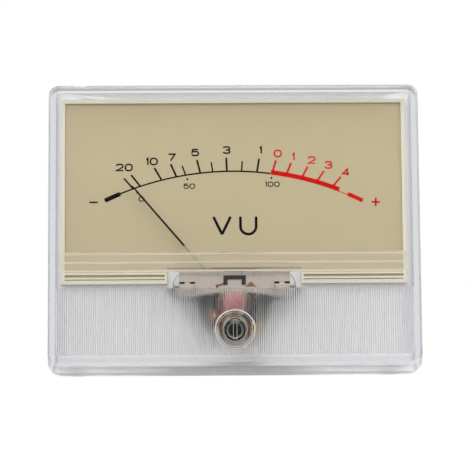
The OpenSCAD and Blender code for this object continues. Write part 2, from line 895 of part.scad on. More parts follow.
module coil_winding() {
    color([0.72, 0.4, 0.2]) at_reading()
        hoop(coil_in + former_t, coil_y0 - former_t, coil_y1 + former_t, winding_t, winding_hw);
}

module front_pivot() {
    color("silver") at_reading() {
        rod(collet_r, collet_y, hub_y);
        rod(pivot_r, jewel_y - pin_in, collet_y);
    }
}

module rear_pivot() {
    color("silver") at_reading() {
        rod(hub_r, winding_y1, rear_seat_y);
        rod(collet_r, rear_seat_y, rear_collet_y);
        rod(pivot_r, rear_collet_y, rear_jewel_y + pin_in);
    }
}

// Hub glued to the coil: a disc, a socket for the needle, a tail and two side arms
module pointer_hub() {
    color([0.2, 0.2, 0.21]) at_reading() slab(hub_y, winding_y0) {
        circle(hub_r);
        translate([-tail_w / 2, -tail_len]) square([tail_w, tail_len]);
        translate([-side_len, -tail_w / 2]) square([2 * side_len, tail_w]);
        translate([-tail_w / 2, 0]) square([tail_w, needle_root + socket_len]);
    }
}

module pointer_needle() {
    root = needle_root + socket_len;
    color([0.08, 0.08, 0.08]) at_reading()
        slab(pointer_y - pointer_t / 2, pointer_y + pointer_t / 2)
            polygon([[-pointer_w0 / 2, root], [pointer_w0 / 2, root],
                [pointer_w1 / 2, pointer_len], [-pointer_w1 / 2, pointer_len]]);
}

// Small weights on the ends of the tail and side arms
module balance_weights() {
    color([0.8, 0.7, 0.45]) at_reading() {
        translate([0, pointer_y, -tail_len - tail_weight_len])
            cylinder(r = tail_weight_r, h = tail_weight_len);
        for (side = [-1, 1])
            translate([side * (side_len + side_weight_len / 2), pointer_y, 0])
                rotate([0, 90, 0]) cylinder(r = side_weight_r, h = side_weight_len, center = true);
    }
}

// Two pins on the yoke's front that stop the pointer just past the ends of the scale
module pointer_stops() {
    color([0.75, 0.76, 0.78])
        for (side = [-1, 1])
            translate([0, 0, pivot_z]) rotate([0, side * stop_angle, 0])
                rod(stop_r, pointer_y - stop_over, yoke_y0, 0, stop_at);
}

// ---------------------------------------------------------------- terminals

// Straps from the terminals to the rear spring tag and to the rear bridge
module lead_straps() {
    strap_y = rear_y - t_head_t - strap_t;
    foot_z = pivot_z + strap_w / 2;
    bridge_foot_z = ear_z - strap_foot;
    color([0.8, 0.5, 0.3]) {
        slab(strap_y, strap_y + strap_t) {
            translate([terminal_x, terminal_z]) circle(t_head_r);
            translate([strap_tag_x - strap_w / 2, terminal_z - strap_w / 2])
                square([terminal_x - strap_tag_x, strap_w]);
            translate([strap_tag_x - strap_w / 2, foot_z - strap_w])
                square([strap_w, terminal_z - foot_z + strap_w]);
            translate([-terminal_x, terminal_z]) circle(t_head_r);
            translate([strap_bridge_x - strap_w / 2, bridge_foot_z])
                square([strap_w, terminal_z - bridge_foot_z]);
        }
        box([strap_tag_x - strap_w / 2, rear_nut_y, foot_z - strap_w],
            [strap_tag_x - strap_w / 2 + strap_t, strap_y, foot_z]);
        box([strap_bridge_x - strap_w / 2, bridge_end_y, bridge_foot_z],
            [strap_bridge_x + strap_w / 2, strap_y, bridge_foot_z + strap_t]);
    }
}

module terminal_studs() {
    color([0.8, 0.7, 0.45]) at_terminals() {
        rod(t_head_r, rear_y - t_head_t, rear_y);
        rod(terminal_r, rear_y, barrel_d + terminal_len);
    }
}

module terminal_washers() {
    color("silver") at_terminals() difference() {
        rod(washer_r, barrel_d, barrel_d + washer_t);
        rod(terminal_r + slip, barrel_d - cut, barrel_d + washer_t + cut);
    }
}

// Solder lugs clamped under the nuts, pointing down
module solder_lugs() {
    y0 = barrel_d + washer_t;
    color([0.82, 0.78, 0.68]) at_terminals() slab(y0, y0 + lug_t) difference() {
        union() {
            circle(washer_r - 0.3);
            translate([-lug_w / 2, -lug_len + lug_w / 2]) square([lug_w, lug_len - lug_w / 2]);
            translate([0, -lug_len + lug_w / 2]) circle(lug_w / 2);
        }
        circle(terminal_r + slip);
        translate([0, -lug_len + lug_w / 2]) circle(lug_hole_r);
    }
}

module terminal_nuts() {
    y0 = barrel_d + washer_t + lug_t;
    color([0.8, 0.7, 0.45]) at_terminals() slab(y0, y0 + t_nut_t) difference() {
        circle(t_nut_r, $fn = nut_flats);
        circle(terminal_r + 0.02);
    }
}

front_cover();
base_housing();
dial_frame();
dial_plate();
panel_studs();
zero_adjuster();
adjuster_clip();
zero_arm();
front_hairspring();
yoke_ring();
core_magnet();
core_supports();
front_pillars();
rear_pillars();
front_bridge();
rear_bridge();
bridge_screws();
front_jewel_screw();
rear_jewel_screw();
front_lock_nut();
rear_lock_nut();
front_jewel();
rear_jewel();
rear_spring_tag();
tag_insulator();
rear_hairspring();
bridge_block();
front_lead();
pointer_stops();
coil_former();
coil_winding();
front_pivot();
rear_pivot();
pointer_hub();
pointer_needle();
balance_weights();
lead_straps();
terminal_studs();
terminal_washers();
solder_lugs();
terminal_nuts();
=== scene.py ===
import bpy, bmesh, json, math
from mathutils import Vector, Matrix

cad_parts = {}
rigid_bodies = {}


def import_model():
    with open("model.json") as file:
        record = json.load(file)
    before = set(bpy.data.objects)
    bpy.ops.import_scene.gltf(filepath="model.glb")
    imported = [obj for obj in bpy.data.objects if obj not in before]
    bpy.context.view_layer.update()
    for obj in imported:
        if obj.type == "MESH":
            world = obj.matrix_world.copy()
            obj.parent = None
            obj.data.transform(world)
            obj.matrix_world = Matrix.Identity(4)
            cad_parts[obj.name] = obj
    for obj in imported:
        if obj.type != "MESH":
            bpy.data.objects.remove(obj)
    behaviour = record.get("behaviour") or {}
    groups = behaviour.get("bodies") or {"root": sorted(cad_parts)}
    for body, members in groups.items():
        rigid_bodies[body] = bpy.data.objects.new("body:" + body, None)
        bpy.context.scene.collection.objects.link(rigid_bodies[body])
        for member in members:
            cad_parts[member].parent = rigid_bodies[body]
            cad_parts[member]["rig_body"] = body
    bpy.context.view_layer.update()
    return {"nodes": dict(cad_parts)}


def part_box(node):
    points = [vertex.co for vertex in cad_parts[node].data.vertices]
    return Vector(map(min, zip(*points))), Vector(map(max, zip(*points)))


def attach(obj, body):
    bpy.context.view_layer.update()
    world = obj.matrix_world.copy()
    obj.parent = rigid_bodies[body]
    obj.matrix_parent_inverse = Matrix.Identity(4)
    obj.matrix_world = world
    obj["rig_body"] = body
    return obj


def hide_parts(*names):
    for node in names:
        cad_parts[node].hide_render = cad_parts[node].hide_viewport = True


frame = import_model()

# %% [markdown]
# # A panel level meter in clear plastic
# The object is a moving-coil meter for an audio panel: a clear ribbed front over a printed
# dial, with the small movement showing below the dial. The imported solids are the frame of
# this scene. A note like this one says what a piece or a finish is on the real meter, and why
# it is made in the way it is. The cell after it makes it. Lengths are in metres, so sizes in
# millimetres are multiplied by mm.

mm = 0.001
nodes = frame["nodes"]

# %% [markdown]
# A finish is a node tree. Every one here starts from the same few nodes: object coordinates
# feed a noise that makes small changes of colour and of roughness, and a finer noise gives a
# bump. A moulded, turned or plated surface then differs only in its numbers. Colours are
# written as the eye sees them and turned into the linear values that the renderer uses.

# %% Base of every finish
def linear(rgb):
    """Colour as seen, turned into linear light."""
    return tuple((c / 12.92 if c <= 0.04045 else ((c + 0.055) / 1.055) ** 2.4) for c in rgb) + (1,)


def mixed(tree, share, first, second):
    """Passes from one colour to another. Each is a colour or another node's output."""
    mix = tree.nodes.new("ShaderNodeMix")
    mix.data_type = "RGBA"
    # The node has a set of sockets for each kind of value. These are the ones for colours.
    share_in, first_in, second_in = (mix.inputs[i] for i in (0, 6, 7))
    tree.links.new(share, share_in)
    for colour, socket in ((first, first_in), (second, second_in)):
        if isinstance(colour, bpy.types.NodeSocket):
            tree.links.new(colour, socket)
        else:
            socket.default_value = colour
    return mix.outputs[2]


def finish(name, rgb, metal=0.0, rough=0.4, vary=0.04, rough_vary=0.08, grain=600.0, bump=0.05,
           stretch=(1, 1, 1), coat=0.0, gloss=0.5):
    """A material with slight, uneven colour and gloss and a fine bump."""
    material = bpy.data.materials.new(name)
    material.use_nodes = True
    tree = material.node_tree
    shader = tree.nodes["Principled BSDF"]
    shader.inputs["Metallic"].default_value = metal
    shader.inputs["Coat Weight"].default_value = coat
    shader.inputs["Specular IOR Level"].default_value = gloss
    place = tree.nodes.new("ShaderNodeTexCoord")
    turn = tree.nodes.new("ShaderNodeMapping")
    turn.inputs["Scale"].default_value = stretch
    cloud = tree.nodes.new("ShaderNodeTexNoise")
    cloud.inputs["Scale"].default_value = grain * 0.2
    cloud.inputs["Detail"].default_value = 3
    fine = tree.nodes.new("ShaderNodeTexNoise")
    fine.inputs["Scale"].default_value = grain * 4
    fine.inputs["Detail"].default_value = 4
    tree.links.new(place.outputs["Object"], turn.inputs["Vector"])
    for noise in (cloud, fine):
        tree.links.new(turn.outputs["Vector"], noise.inputs["Vector"])
    darker = linear([c * (1 - vary) for c in rgb])
    lighter = linear([min(1, c * (1 + vary)) for c in rgb])
    tree.links.new(mixed(tree, cloud.outputs["Fac"], darker, lighter),
                   shader.inputs["Base Color"])
    uneven = tree.nodes.new("ShaderNodeMapRange")
    uneven.inputs["To Min"].default_value = max(0.02, rough - rough_vary)
    uneven.inputs["To Max"].default_value = min(1, rough + rough_vary)
    tree.links.new(cloud.outputs["Fac"], uneven.inputs["Value"])
    tree.links.new(uneven.outputs["Result"], shader.inputs["Roughness"])
    relief = tree.nodes.new("ShaderNodeBump")
    relief.inputs["Strength"].default_value = bump
    relief.inputs["Distance"].default_value = 0.05 * mm
    tree.links.new(fine.outputs["Fac"], relief.inputs["Height"])
    tree.links.new(relief.outputs["Normal"], shader.inputs["Normal"])
    return material


print("a mid grey of 0.5 is", round(linear([0.5])[0], 3), "in linear light")

# %% [markdown]
# Some surfaces pass from one colour into another: the needle is painted on its outer part
# only, spring steel is browned by heat, and a screw's slot has a painted highlight in its
# middle and painted shade at its ends. Such a finish measures how far a point of the surface
# lies from a centre, along some axes only, and blends its colour into the other one between
# two distances. Two materials on one piece would need a cut in its mesh at the border, and
# the border would be hard.

# %% A finish that passes into another colour
def vector_step(tree, operation, source, value=None):
    """One step of arithmetic on a node's output."""
    step = tree.nodes.new("ShaderNodeVectorMath")
    step.operation = operation
    tree.links.new(source, step.inputs[0])
    if value is not None:
        step.inputs[1].default_value = value
    return step.outputs["Value" if operation == "LENGTH" else "Vector"]


def graded(material, centre, other, start, end, axes=(1, 1, 1), both_sides=False):
    """Lets a finish pass into another colour with the distance in mm from a centre."""
    tree = material.node_tree
    place = tree.nodes["Texture Coordinate"].outputs["Object"]
    if both_sides:
        place = vector_step(tree, "ABSOLUTE", place)
    gap = vector_step(tree, "SUBTRACT", place, [c * mm for c in centre])
    away = vector_step(tree, "LENGTH", vector_step(tree, "MULTIPLY", gap, axes))
    share = tree.nodes.new("ShaderNodeMapRange")
    share.inputs["From Min"].default_value = start * mm
    share.inputs["From Max"].default_value = end * mm
    tree.links.new(away, share.inputs["Value"])
    colour = tree.nodes["Principled BSDF"].inputs["Base Color"]
    own_colour = colour.links[0].from_socket
    tree.links.new(mixed(tree, share.outputs["Result"], own_colour, linear(other)), colour)
    return material


# %% [markdown]
# The solids carry most of the finishes of the real meter: moulded white plastic, enamelled
# sheet, plated steel, turned brass, copper, dark iron, ruby. Plastic and paint come first.
# They could be one flat colour each, but a real moulding is a little uneven in colour and in
# gloss, and the eye misses that. The needle's pale lacquer ends where its black paint begins.

# %% Plastics and paints
pivot_z = -17.95
needle_black = (0.008, 0.008, 0.008)
white_plastic = finish("white_plastic", (0.955, 0.955, 0.96), rough=0.45, vary=0.008, bump=0.08,
                       gloss=0.4)
cream_plastic = finish("cream_plastic", (0.94, 0.92, 0.845), rough=0.4, vary=0.012, bump=0.06)
black_plastic = finish("black_plastic", (0.06, 0.06, 0.065), rough=0.4, bump=0.1)
dial_paint = finish("dial_paint", (0.80, 0.745, 0.605), rough=0.55, vary=0.012, bump=0.06,
                    gloss=0.15)
pointer_paint = finish("pointer_paint", needle_black, rough=0.5, gloss=0.02)
needle_paint = graded(finish("needle_paint", (0.62, 0.59, 0.51), rough=0.5, gloss=0.1),
                      (0, 0, pivot_z), needle_black, 18.4, 18.9, axes=(1, 0, 1))
print(len(bpy.data.materials), "materials with the plastics and paints")

# %% [markdown]
# Bare metal has hardly a colour of its own and tints what it mirrors, so Metallic is near 1
# and the colour is that of the mirror image. Turned and drawn metal is brushed, so its noise
# is stretched along one axis. Iron and old copper have an even one and a deeper bump. The
# clip's spring steel is grey in the middle and brown beyond it.

# %% Metals
aluminium = finish("aluminium", (0.80, 0.81, 0.82), 1.0, 0.32, stretch=(1, 1, 12))
nickel = finish("nickel", (0.89, 0.86, 0.84), 1.0, 0.3, stretch=(10, 1, 1))
steel = finish("steel", (0.72, 0.715, 0.71), 1.0, 0.3, stretch=(1, 12, 1))
bridge_nickel = finish("bridge_nickel", (0.75, 0.71, 0.675), 1.0, 0.3, stretch=(10, 1, 1))
soft_iron = finish("soft_iron", (0.70, 0.70, 0.71), 0.8, 0.5, vary=0.08, bump=0.2)
magnet = finish("magnet", (0.46, 0.46, 0.47), 0.7, 0.5, vary=0.1, bump=0.2)
brass = finish("brass", (0.83, 0.68, 0.38), 1.0, 0.27, stretch=(1, 10, 1))
copper = finish("copper", (0.78, 0.42, 0.24), 1.0, 0.3, bump=0.1)
aged_copper = finish("aged_copper", (0.56, 0.38, 0.28), 0.9, 0.4, vary=0.15, bump=0.2)
# The zero arm's brass is darker than the rest: painted shade where the arm lies in shade.
shaded_brass = finish("shaded_brass", (0.60, 0.46, 0.27), 1.0, 0.35, vary=0.1, bump=0.15)
tempered_steel = graded(finish("tempered_steel", (0.62, 0.61, 0.59), 1.0, 0.3, vary=0.1),
                        (0, 0, 0), (0.42, 0.25, 0.10), 2.2, 3.3, axes=(1, 0, 0))
polished = finish("polished", (0.98, 0.98, 0.98), 1.0, 0.12, rough_vary=0.02, bump=0.0)
bronze_spring = finish("bronze_spring", (0.76, 0.58, 0.36), 1.0, 0.28)
print(len(bpy.data.materials), "materials with the metals")

# %% [markdown]
# A few small places have a finish of their own. The slots of the bridge screws are painted
# light in their middle, a painted highlight, and dark at their ends, painted shade. The end
# of the knob's shank is painted dark, painted shade that shows through the clear head, and
# the knob's rounded edge and the rim of its seat are painted white, a painted highlight. A
# mirrored pair of places, like the two screws, needs only one centre, because the finish can
# fold the left side onto the right.

# %% Slots, painted highlights and shade, lacquer, fibre and ruby
adjuster_z = -24.7
bridge_screw_x = 11.4
# The slot finish: a painted highlight in the middle, painted shade beyond 0.5 to 0.8 mm.
slot_highlight_and_shade = graded(finish("slot_highlight_and_shade", (0.93, 0.92, 0.90), 0.0, 0.6), (bridge_screw_x, 0, 0),
                    (0.05, 0.05, 0.055), 0.5, 0.8, axes=(1, 0, 0), both_sides=True)
# The shank's end is painted dark near the knob's axis, painted shade, and light grey further out.
shank_shade = graded(finish("shank_shade", (0.05, 0.04, 0.035), rough=0.5, vary=0.2, gloss=0.1),
                (0, 0, adjuster_z), (0.60, 0.59, 0.57), 1.5, 1.75, axes=(1, 0, 1))
# White for painted highlights: the knob's rounded edge and the rim of its seat.
highlight_white = finish("highlight_white", (0.99, 0.97, 0.92), rough=0.6, vary=0.01)
# Cream for the painted highlights in the cover's level grooves.
groove_highlight_cream = finish("groove_highlight_cream", (1.0, 0.955, 0.83), rough=0.6, vary=0.0)
lacquer = finish("lacquer", (0.77, 0.50, 0.50), rough=0.2, vary=0.1, grain=300, bump=0.1, coat=0.6)
fibre = finish("fibre", (0.38, 0.17, 0.11), rough=0.7, vary=0.12, bump=0.4)
ruby = finish("ruby", (0.70, 0.05, 0.14), rough=0.06, bump=0.0)
print(len(bpy.data.materials), "materials with the small finishes")

# %% [markdown]
# The cover is clear polystyrene, which bends light a little more than acrylic does. Light
# from the lamps must reach the dial through it. Glass that casts a full shadow would leave
# the inside dark, so for shadow rays alone the shader becomes a clear, faintly grey film.
# A film alone, with no bending of light, would be quicker, but then its edges would not show.

# %% Clear plastic
def clear(name, rgb, rough, film=0.97, gloss=0.12, ribs=0.0, clearness=1.0):
    """Clear plastic that lets the lamps' light through."""
    material = bpy.data.materials.new(name)
    material.use_nodes = True
    tree = material.node_tree
    shader = tree.nodes["Principled BSDF"]
    shader.inputs["Base Color"].default_value = linear(rgb)
    shader.inputs["Roughness"].default_value = rough
    shader.inputs["IOR"].default_value = 1.53
    shader.inputs["Transmission Weight"].default_value = clearness
    shader.inputs["Specular Tint"].default_value = (gloss, gloss, gloss, 1)
    if ribs:
        place = tree.nodes.new("ShaderNodeTexCoord")
        waves = tree.nodes.new("ShaderNodeTexWave")
        # A wave texture of scale 1 repeats every 2 pi / 20 of a metre.
        waves.inputs["Scale"].default_value = 2 * math.pi / (20 * ribs)
        relief = tree.nodes.new("ShaderNodeBump")
        relief.inputs["Strength"].default_value = 0.5
        relief.inputs["Distance"].default_value = 0.06 * mm
        tree.links.new(place.outputs["Object"], waves.inputs["Vector"])
        tree.links.new(waves.outputs["Fac"], relief.inputs["Height"])
        tree.links.new(relief.outputs["Normal"], shader.inputs["Normal"])
        # Across each rib the colour turns darker and lighter: painted shade and highlight of the
        # ribs.
        darker = linear([c * 0.8 for c in rgb])
        lighter = linear([min(1, c * 1.2) for c in rgb])
        tree.links.new(mixed(tree, waves.outputs["Fac"], darker, lighter),
                       shader.inputs["Base Color"])
    ray = tree.nodes.new("ShaderNodeLightPath")
    through = tree.nodes.new("ShaderNodeBsdfTransparent")
    through.inputs["Color"].default_value = (film, film, film, 1)
    mix = tree.nodes.new("ShaderNodeMixShader")
    tree.links.new(ray.outputs["Is Shadow Ray"], mix.inputs["Fac"])
    tree.links.new(shader.outputs["BSDF"], mix.inputs[1])
    tree.links.new(through.outputs["BSDF"], mix.inputs[2])
    tree.links.new(mix.outputs["Shader"], tree.nodes["Material Output"].inputs["Surface"])
    return material


# %% [markdown]
# One plastic looks different from face to face of the real cover. The flat window is nearly
# unseen. The walls are looked into sideways, through more of it, so they look greyer, and the
# sloping chin is matt. Ribs and grooves scatter what is behind them, so they are rougher. Thick
# plastic could be traced with many bounces to get all that, but a finish for each kind of face
# is quicker, and it looks alike from every side. The greyer tints of the walls, edges, lips
# and ceiling are painted shade.

# %% Finishes of the cover and the knob
clear_plastic = clear("clear_plastic", (0.99, 0.99, 0.99), 0.01)
edge_plastic = clear("edge_plastic", (0.815, 0.82, 0.84), 0.15, gloss=0.5)
sill_plastic = clear("sill_plastic", (0.94, 0.942, 0.955), 0.35, gloss=1.0)
wall_plastic = clear("wall_plastic", (0.93, 0.932, 0.945), 0.3, gloss=0.8)
band_plastic = clear("band_plastic", (0.97, 0.965, 0.95), 0.14, gloss=1.0, clearness=0.9)
lip_plastic = clear("lip_plastic", (0.885, 0.89, 0.91), 0.1, gloss=0.8)
bevel_plastic = clear("bevel_plastic", (0.97, 0.972, 0.98), 0.05, gloss=1.0)
chin_plastic = clear("chin_plastic", (1.0, 1.0, 1.0), 0.5, gloss=1.0)
ribbed_plastic = clear("ribbed_plastic", (0.99, 0.99, 0.99), 0.36)
shade_plastic = clear("shade_plastic", (0.81, 0.812, 0.82), 0.36, 0.95)
ceiling_plastic = clear("ceiling_plastic", (0.71, 0.715, 0.72), 0.12, 0.95, ribs=0.53 * mm)
groove_plastic = clear("groove_plastic", (0.99, 0.99, 0.985), 0.25, gloss=1.0)
knob_plastic = clear("knob_plastic", (0.97, 0.972, 0.975), 0.01, 0.93, gloss=0.35)
print(len(bpy.data.materials), "materials with the clear ones")

# %% [markdown]
# Every piece made here goes into the scene in the same way: it rides on a body of the frame,
# takes its finish, and says which solid it stands for. Its edges are marked as sharp or smooth
# first. Shading a whole piece smooth would be one line, but flat faces would then look like
# pillows.

# %% Pieces
bend_from, sharp_at = math.radians(0.7), math.radians(35)


def piece(name, mesh_data, material, body, stands_for=()):
    """Puts a finished bmesh in the scene, on its body and with its finish."""
    for edge in mesh_data.edges:
        edge.smooth = len(edge.link_faces) == 2 and edge.calc_face_angle(0) < sharp_at
    mesh = bpy.data.meshes.new(name)
    mesh_data.to_mesh(mesh)
    mesh_data.free()
    mesh.materials.append(material)
    thing = bpy.data.objects.new(name, mesh)
    bpy.context.scene.collection.objects.link(thing)
    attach(thing, body)
    if stands_for:
        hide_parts(*stands_for)
    return thing


def curved(shape):
    """Marks the faces of curved walls as smooth and leaves flat faces flat."""
    for face in shape.faces:
        bends = [edge.calc_face_angle(0) for edge in face.edges if len(edge.link_faces) == 2]
        face.smooth = any(bend_from < bend < sharp_at for bend in bends)


# %% [markdown]
# A solid from the CAD model has knife edges, and no real part has. The edges of a moulding or
# a turned part catch a thin line of light, which is what makes it look real. So each hard
# piece is copied, its loose triangles are joined, its flat faces are merged, and its sharp
# edges are bevelled, by a few hundredths of a millimetre or up to a quarter. A modifier could
# do that too, but here a step can also pick single edges and faces. The copy then stands for
# the solid.

# %% Bevelled copies of the solids
flat_within, bevel_from = math.radians(0.6), math.radians(40)


def copied(node):
    """The solid's mesh, joined up and with its flat faces merged."""
    shape = bmesh.new()
    shape.from_mesh(nodes[node].data)
    bmesh.ops.remove_doubles(shape, verts=shape.verts[:], dist=0.0005 * mm)
    bmesh.ops.dissolve_limit(shape, angle_limit=flat_within, use_dissolve_boundaries=False,
                             verts=shape.verts[:], edges=shape.edges[:])
    curved(shape)
    return shape


def bevelled(shape, edges, width, segments=2):
    """Rounds edges of a shape and gives back the new faces."""
    return bmesh.ops.bevel(shape, geom=edges, offset=width, offset_type="OFFSET",
                           affect="EDGES", segments=segments, profile=0.5, material=-1,
                           clamp_overlap=True)["faces"]


def soften(shape, width):
    """Bevels every sharp edge of a shape and lets the bevels look round."""
    sharp = [e for e in shape.edges
             if len(e.link_faces) == 2 and e.calc_face_angle(0) > bevel_from]
    for face in bevelled(shape, sharp, width):
        face.smooth = True
    return shape


def body_of(node):
    """The body that a solid rides on."""
    return nodes[node]["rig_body"]


def dress(node, material, width):
    """A bevelled copy in place of a solid."""
    return piece(node + "_fine", soften(copied(node), width * mm), material, body_of(node),
                 (node,))


# %% [markdown]
# Moulded pieces have rounder edges than pieces cut from sheet or turned, so each piece gets
# its own width of bevel, in millimetres. One width for all would be shorter, but it would eat
# the thin pieces or be lost on the large ones.

# %% Hardware with fine edges
dress("base_housing", white_plastic, 0.2)
dress("dial_frame", cream_plastic, 0.08)
dress("dial_plate", dial_paint, 0.06)
dress("yoke_ring", soft_iron, 0.12)
for node in ("rear_bridge", "front_pillars", "rear_pillars"):
    dress(node, nickel, 0.07)
bridge = dress("front_bridge", bridge_nickel, 0.28)
dress("pointer_stops", steel, 0.05)
dress("adjuster_clip", tempered_steel, 0.05)
dress("zero_arm", shaded_brass, 0.04)
for node in ("core_supports", "rear_spring_tag", "front_jewel_screw",
             "rear_jewel_screw", "rear_lock_nut", "balance_weights"):
    dress(node, brass, 0.04)
dress("front_lock_nut", brass, 0.05)
for node in ("solder_lugs", "terminal_washers"):
    dress(node, nickel, 0.05)
dress("terminal_nuts", brass, 0.25)
dress("bridge_block", black_plastic, 0.05)
dress("lead_straps", copper, 0.04)
fine = [thing for thing in bpy.data.objects if thing.name.endswith("_fine")]
print(len(fine), "solids have a copy with fine edges")

# %% [markdown]
# The front bridge is a plated sheet. The bevel along its lower edge looks down and forwards
# and mirrors the bright floor, so those faces are polished. They are picked by the way they
# look, which holds however many faces the bevel has.

# %% Bright lower edge of the front bridge
bridge.data.materials.append(polished)
bright = [f for f in bridge.data.polygons if f.normal.z < -0.3 and -0.95 < f.normal.y < -0.2]
for face in bright:
    face.material_index = 1
print(len(bright), "polished faces")

# %% [markdown]
# The zero adjuster is a clear knob with a slot for a coin or blade. Its rounded edges are
# painted white, a painted highlight where light is caught, and the end of its shank is
# painted dark, painted shade that shows through the head. Both kinds of faces are picked by
# their depth and by their distance from the axis. The back of the head lies on the seat in
# the cover. Two clear faces in one place would show as specks, so the back is held off the
# seat by a few hundredths of a millimetre.

# %% Zero adjuster
adjuster_shape = copied("zero_adjuster")
knob_radius = 4.85 * mm
knob_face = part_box("zero_adjuster")[0].y
knob_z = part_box("zero_adjuster")[0].z + knob_radius
head_back = knob_face + 1.2 * mm
same_plane = 0.01 * mm


def off_axis(place):
    """How far a place lies from the knob's axis."""
    return math.hypot(place.x, place.z - knob_z)


for v in adjuster_shape.verts:
    if abs(v.co.y - head_back) < same_plane:
        v.co.y -= 0.03 * mm
outer = [e for e in adjuster_shape.edges
         if all(abs(v.co.y - knob_face) < same_plane and off_axis(v.co) > 4.6 * mm
                for v in e.verts)]
bevelled(adjuster_shape, outer, 0.3 * mm)
soften(adjuster_shape, 0.13 * mm)
highlight_edge, dark_shank = 1, 2
for face in adjuster_shape.faces:
    middle, way = face.calc_center_median(), face.normal
    edge_depth = 0.3 * mm if off_axis(middle) > 4.4 * mm else 0.16 * mm
    if middle.y < knob_face + edge_depth and 0.1 < abs(way.y) < 0.98:
        face.material_index = highlight_edge
    elif way.y > 0.9 and middle.y > knob_face + 2.6 * mm and off_axis(middle) < 2.4 * mm:
        face.material_index = dark_shank
adjuster = piece("zero_adjuster_fine", adjuster_shape, knob_plastic, "adjuster",
                 ("zero_adjuster",))
adjuster.data.materials.append(highlight_white)
adjuster.data.materials.append(shank_shade)
print("knob's axis at z", round(knob_z / mm, 2), "mm, its face at y", round(knob_face / mm, 2))

# %% [markdown]
# Two long slotted screws hold the bridges, the pillars and the yoke together. The faces of a
# slot are picked by their depth below the head and by their height beside the axis, and they
# take the finish with a painted highlight in the middle and painted shade towards the ends.
# Painted faces could be a piece of their own, but then nothing would keep them on the screw.

# %% Bridge screws with dark slots
screw_head_radius = 1.9
screw_shape = copied("bridge_screws")
soften(screw_shape, 0.08 * mm)
screw_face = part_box("bridge_screws")[0].y
screw_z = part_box("bridge_screws")[0].z + screw_head_radius * mm
for face in screw_shape.faces:
    middle = face.calc_center_median()
    in_slot = 0.15 * mm < middle.y - screw_face < 0.6 * mm and abs(middle.z - screw_z) < 0.3 * mm
    if in_slot and abs(face.normal.x) < 0.5:
        face.material_index = 1
screws = piece("bridge_screws_fine", screw_shape, bridge_nickel, "housing",
               ("bridge_screws",))
screws.data.materials.append(slot_highlight_and_shade)
print(len(screws.data.polygons), "faces on the bridge screws")

# %% [markdown]
# The hairsprings, jewels, pivots, leads and the coil's former have their final shape in the
# CAD model, and no edge on them is wide enough to be seen. A solid that is right is left as
# it is, and its finish goes into its own material slot.

# %% Solids that stay as they are
plain = {
    "core_magnet": magnet, "front_hairspring": bronze_spring, "rear_hairspring": bronze_spring,
    "front_jewel": ruby, "rear_jewel": ruby, "tag_insulator": fibre, "front_lead": aged_copper,
    "coil_former": aluminium, "front_pivot": steel, "rear_pivot": steel,
    "pointer_hub": pointer_paint,
}
for node, material in plain.items():
    nodes[node].data.materials.clear()
    nodes[node].data.materials.append(material)
print(len(plain), "solids keep their own mesh")

# %% [markdown]
# ## Threads
# The studs are threaded rods. One pitch of the thread is a short ridge beside the axis. It is
# spun round and round while it climbs by a pitch a turn, so the end of each turn meets the
# start of the next, and the doubles are merged. Two planes then cut the rod to length, the
# cuts are filled, and the points near the free end are drawn in to a chamfer. Rings side by
# side would be easier, but they would be grooves and not a thread.

# %% A threaded rod
def all_of(shape):
    """Everything in a shape, as a cut by a plane asks for it."""
    return shape.verts[:] + shape.edges[:] + shape.faces[:]


def cut_off(shape, y, way):
    """Cuts away what lies beyond a plane across Y, given in mm, and closes the cut."""
    bmesh.ops.bisect_plane(shape, geom=all_of(shape), plane_co=(0, y * mm, 0),
                           plane_no=(0, way, 0), clear_outer=True)
    bmesh.ops.holes_fill(shape, edges=[e for e in shape.edges if e.is_boundary], sides=0)


def thread(shape, x, z, radius, pitch, start, end, steps=20):
    """Adds a rod along Y with a helical thread from one plane to another."""
    turns = math.ceil((end - start) / pitch) + 2
    depth = 0.5 * pitch
    ridge = ((radius - depth, 0), (radius, 0.42), (radius, 0.58), (radius - depth, 1))
    rod = bmesh.new()
    profile = [rod.verts.new((x + out * mm, (start - pitch + up * pitch) * mm, z))
               for out, up in ridge]
    lines = [rod.edges.new(pair) for pair in zip(profile, profile[1:])]
    bmesh.ops.spin(rod, geom=profile + lines, cent=(x, 0, z), axis=(0, 1, 0),
                   dvec=(0, pitch * mm / steps, 0), angle=math.radians(360 * turns),
                   steps=steps * turns)
    bmesh.ops.remove_doubles(rod, verts=rod.verts[:], dist=0.004 * mm)
    cut_off(rod, start, -1)
    cut_off(rod, end, 1)
    for v in rod.verts:
        away = Vector((v.co.x - x, 0, v.co.z - z))
        allowed = (radius - max(0, v.co.y / mm - end + depth * 1.4)) * mm
        if away.length > allowed:
            v.co = Vector((x, v.co.y, z)) + away * (allowed / away.length)
    bmesh.ops.recalc_face_normals(rod, faces=rod.faces[:])
    curved(rod)
    whole = bpy.data.meshes.new("rod")
    rod.to_mesh(whole)
    rod.free()
    shape.from_mesh(whole)
    bpy.data.meshes.remove(whole)


# %% [markdown]
# The heads of the studs are kept from the solid, which is cut where the thread starts. The
# panel studs have a coarse M3 thread and the terminals an M4 one. The places of the studs are
# measured from the corner of the node's box, so they follow the CAD model.

# %% Threaded studs
def threaded_studs(node, material, places, radius, pitch, start):
    """Keeps the heads of a node's studs and gives the rest of each stud its thread."""
    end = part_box(node)[1].y / mm
    shape = copied(node)
    cut_off(shape, start, 1)
    for x, z in places:
        thread(shape, x * mm, z * mm, radius, pitch, start, end)
    piece(node + "_threaded", shape, material, body_of(node), (node,))


def outermost(node, head_radius):
    """Where the outermost stud of a node stands, in mm across and upwards."""
    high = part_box(node)[1]
    return high.x / mm - head_radius, high.z / mm - head_radius


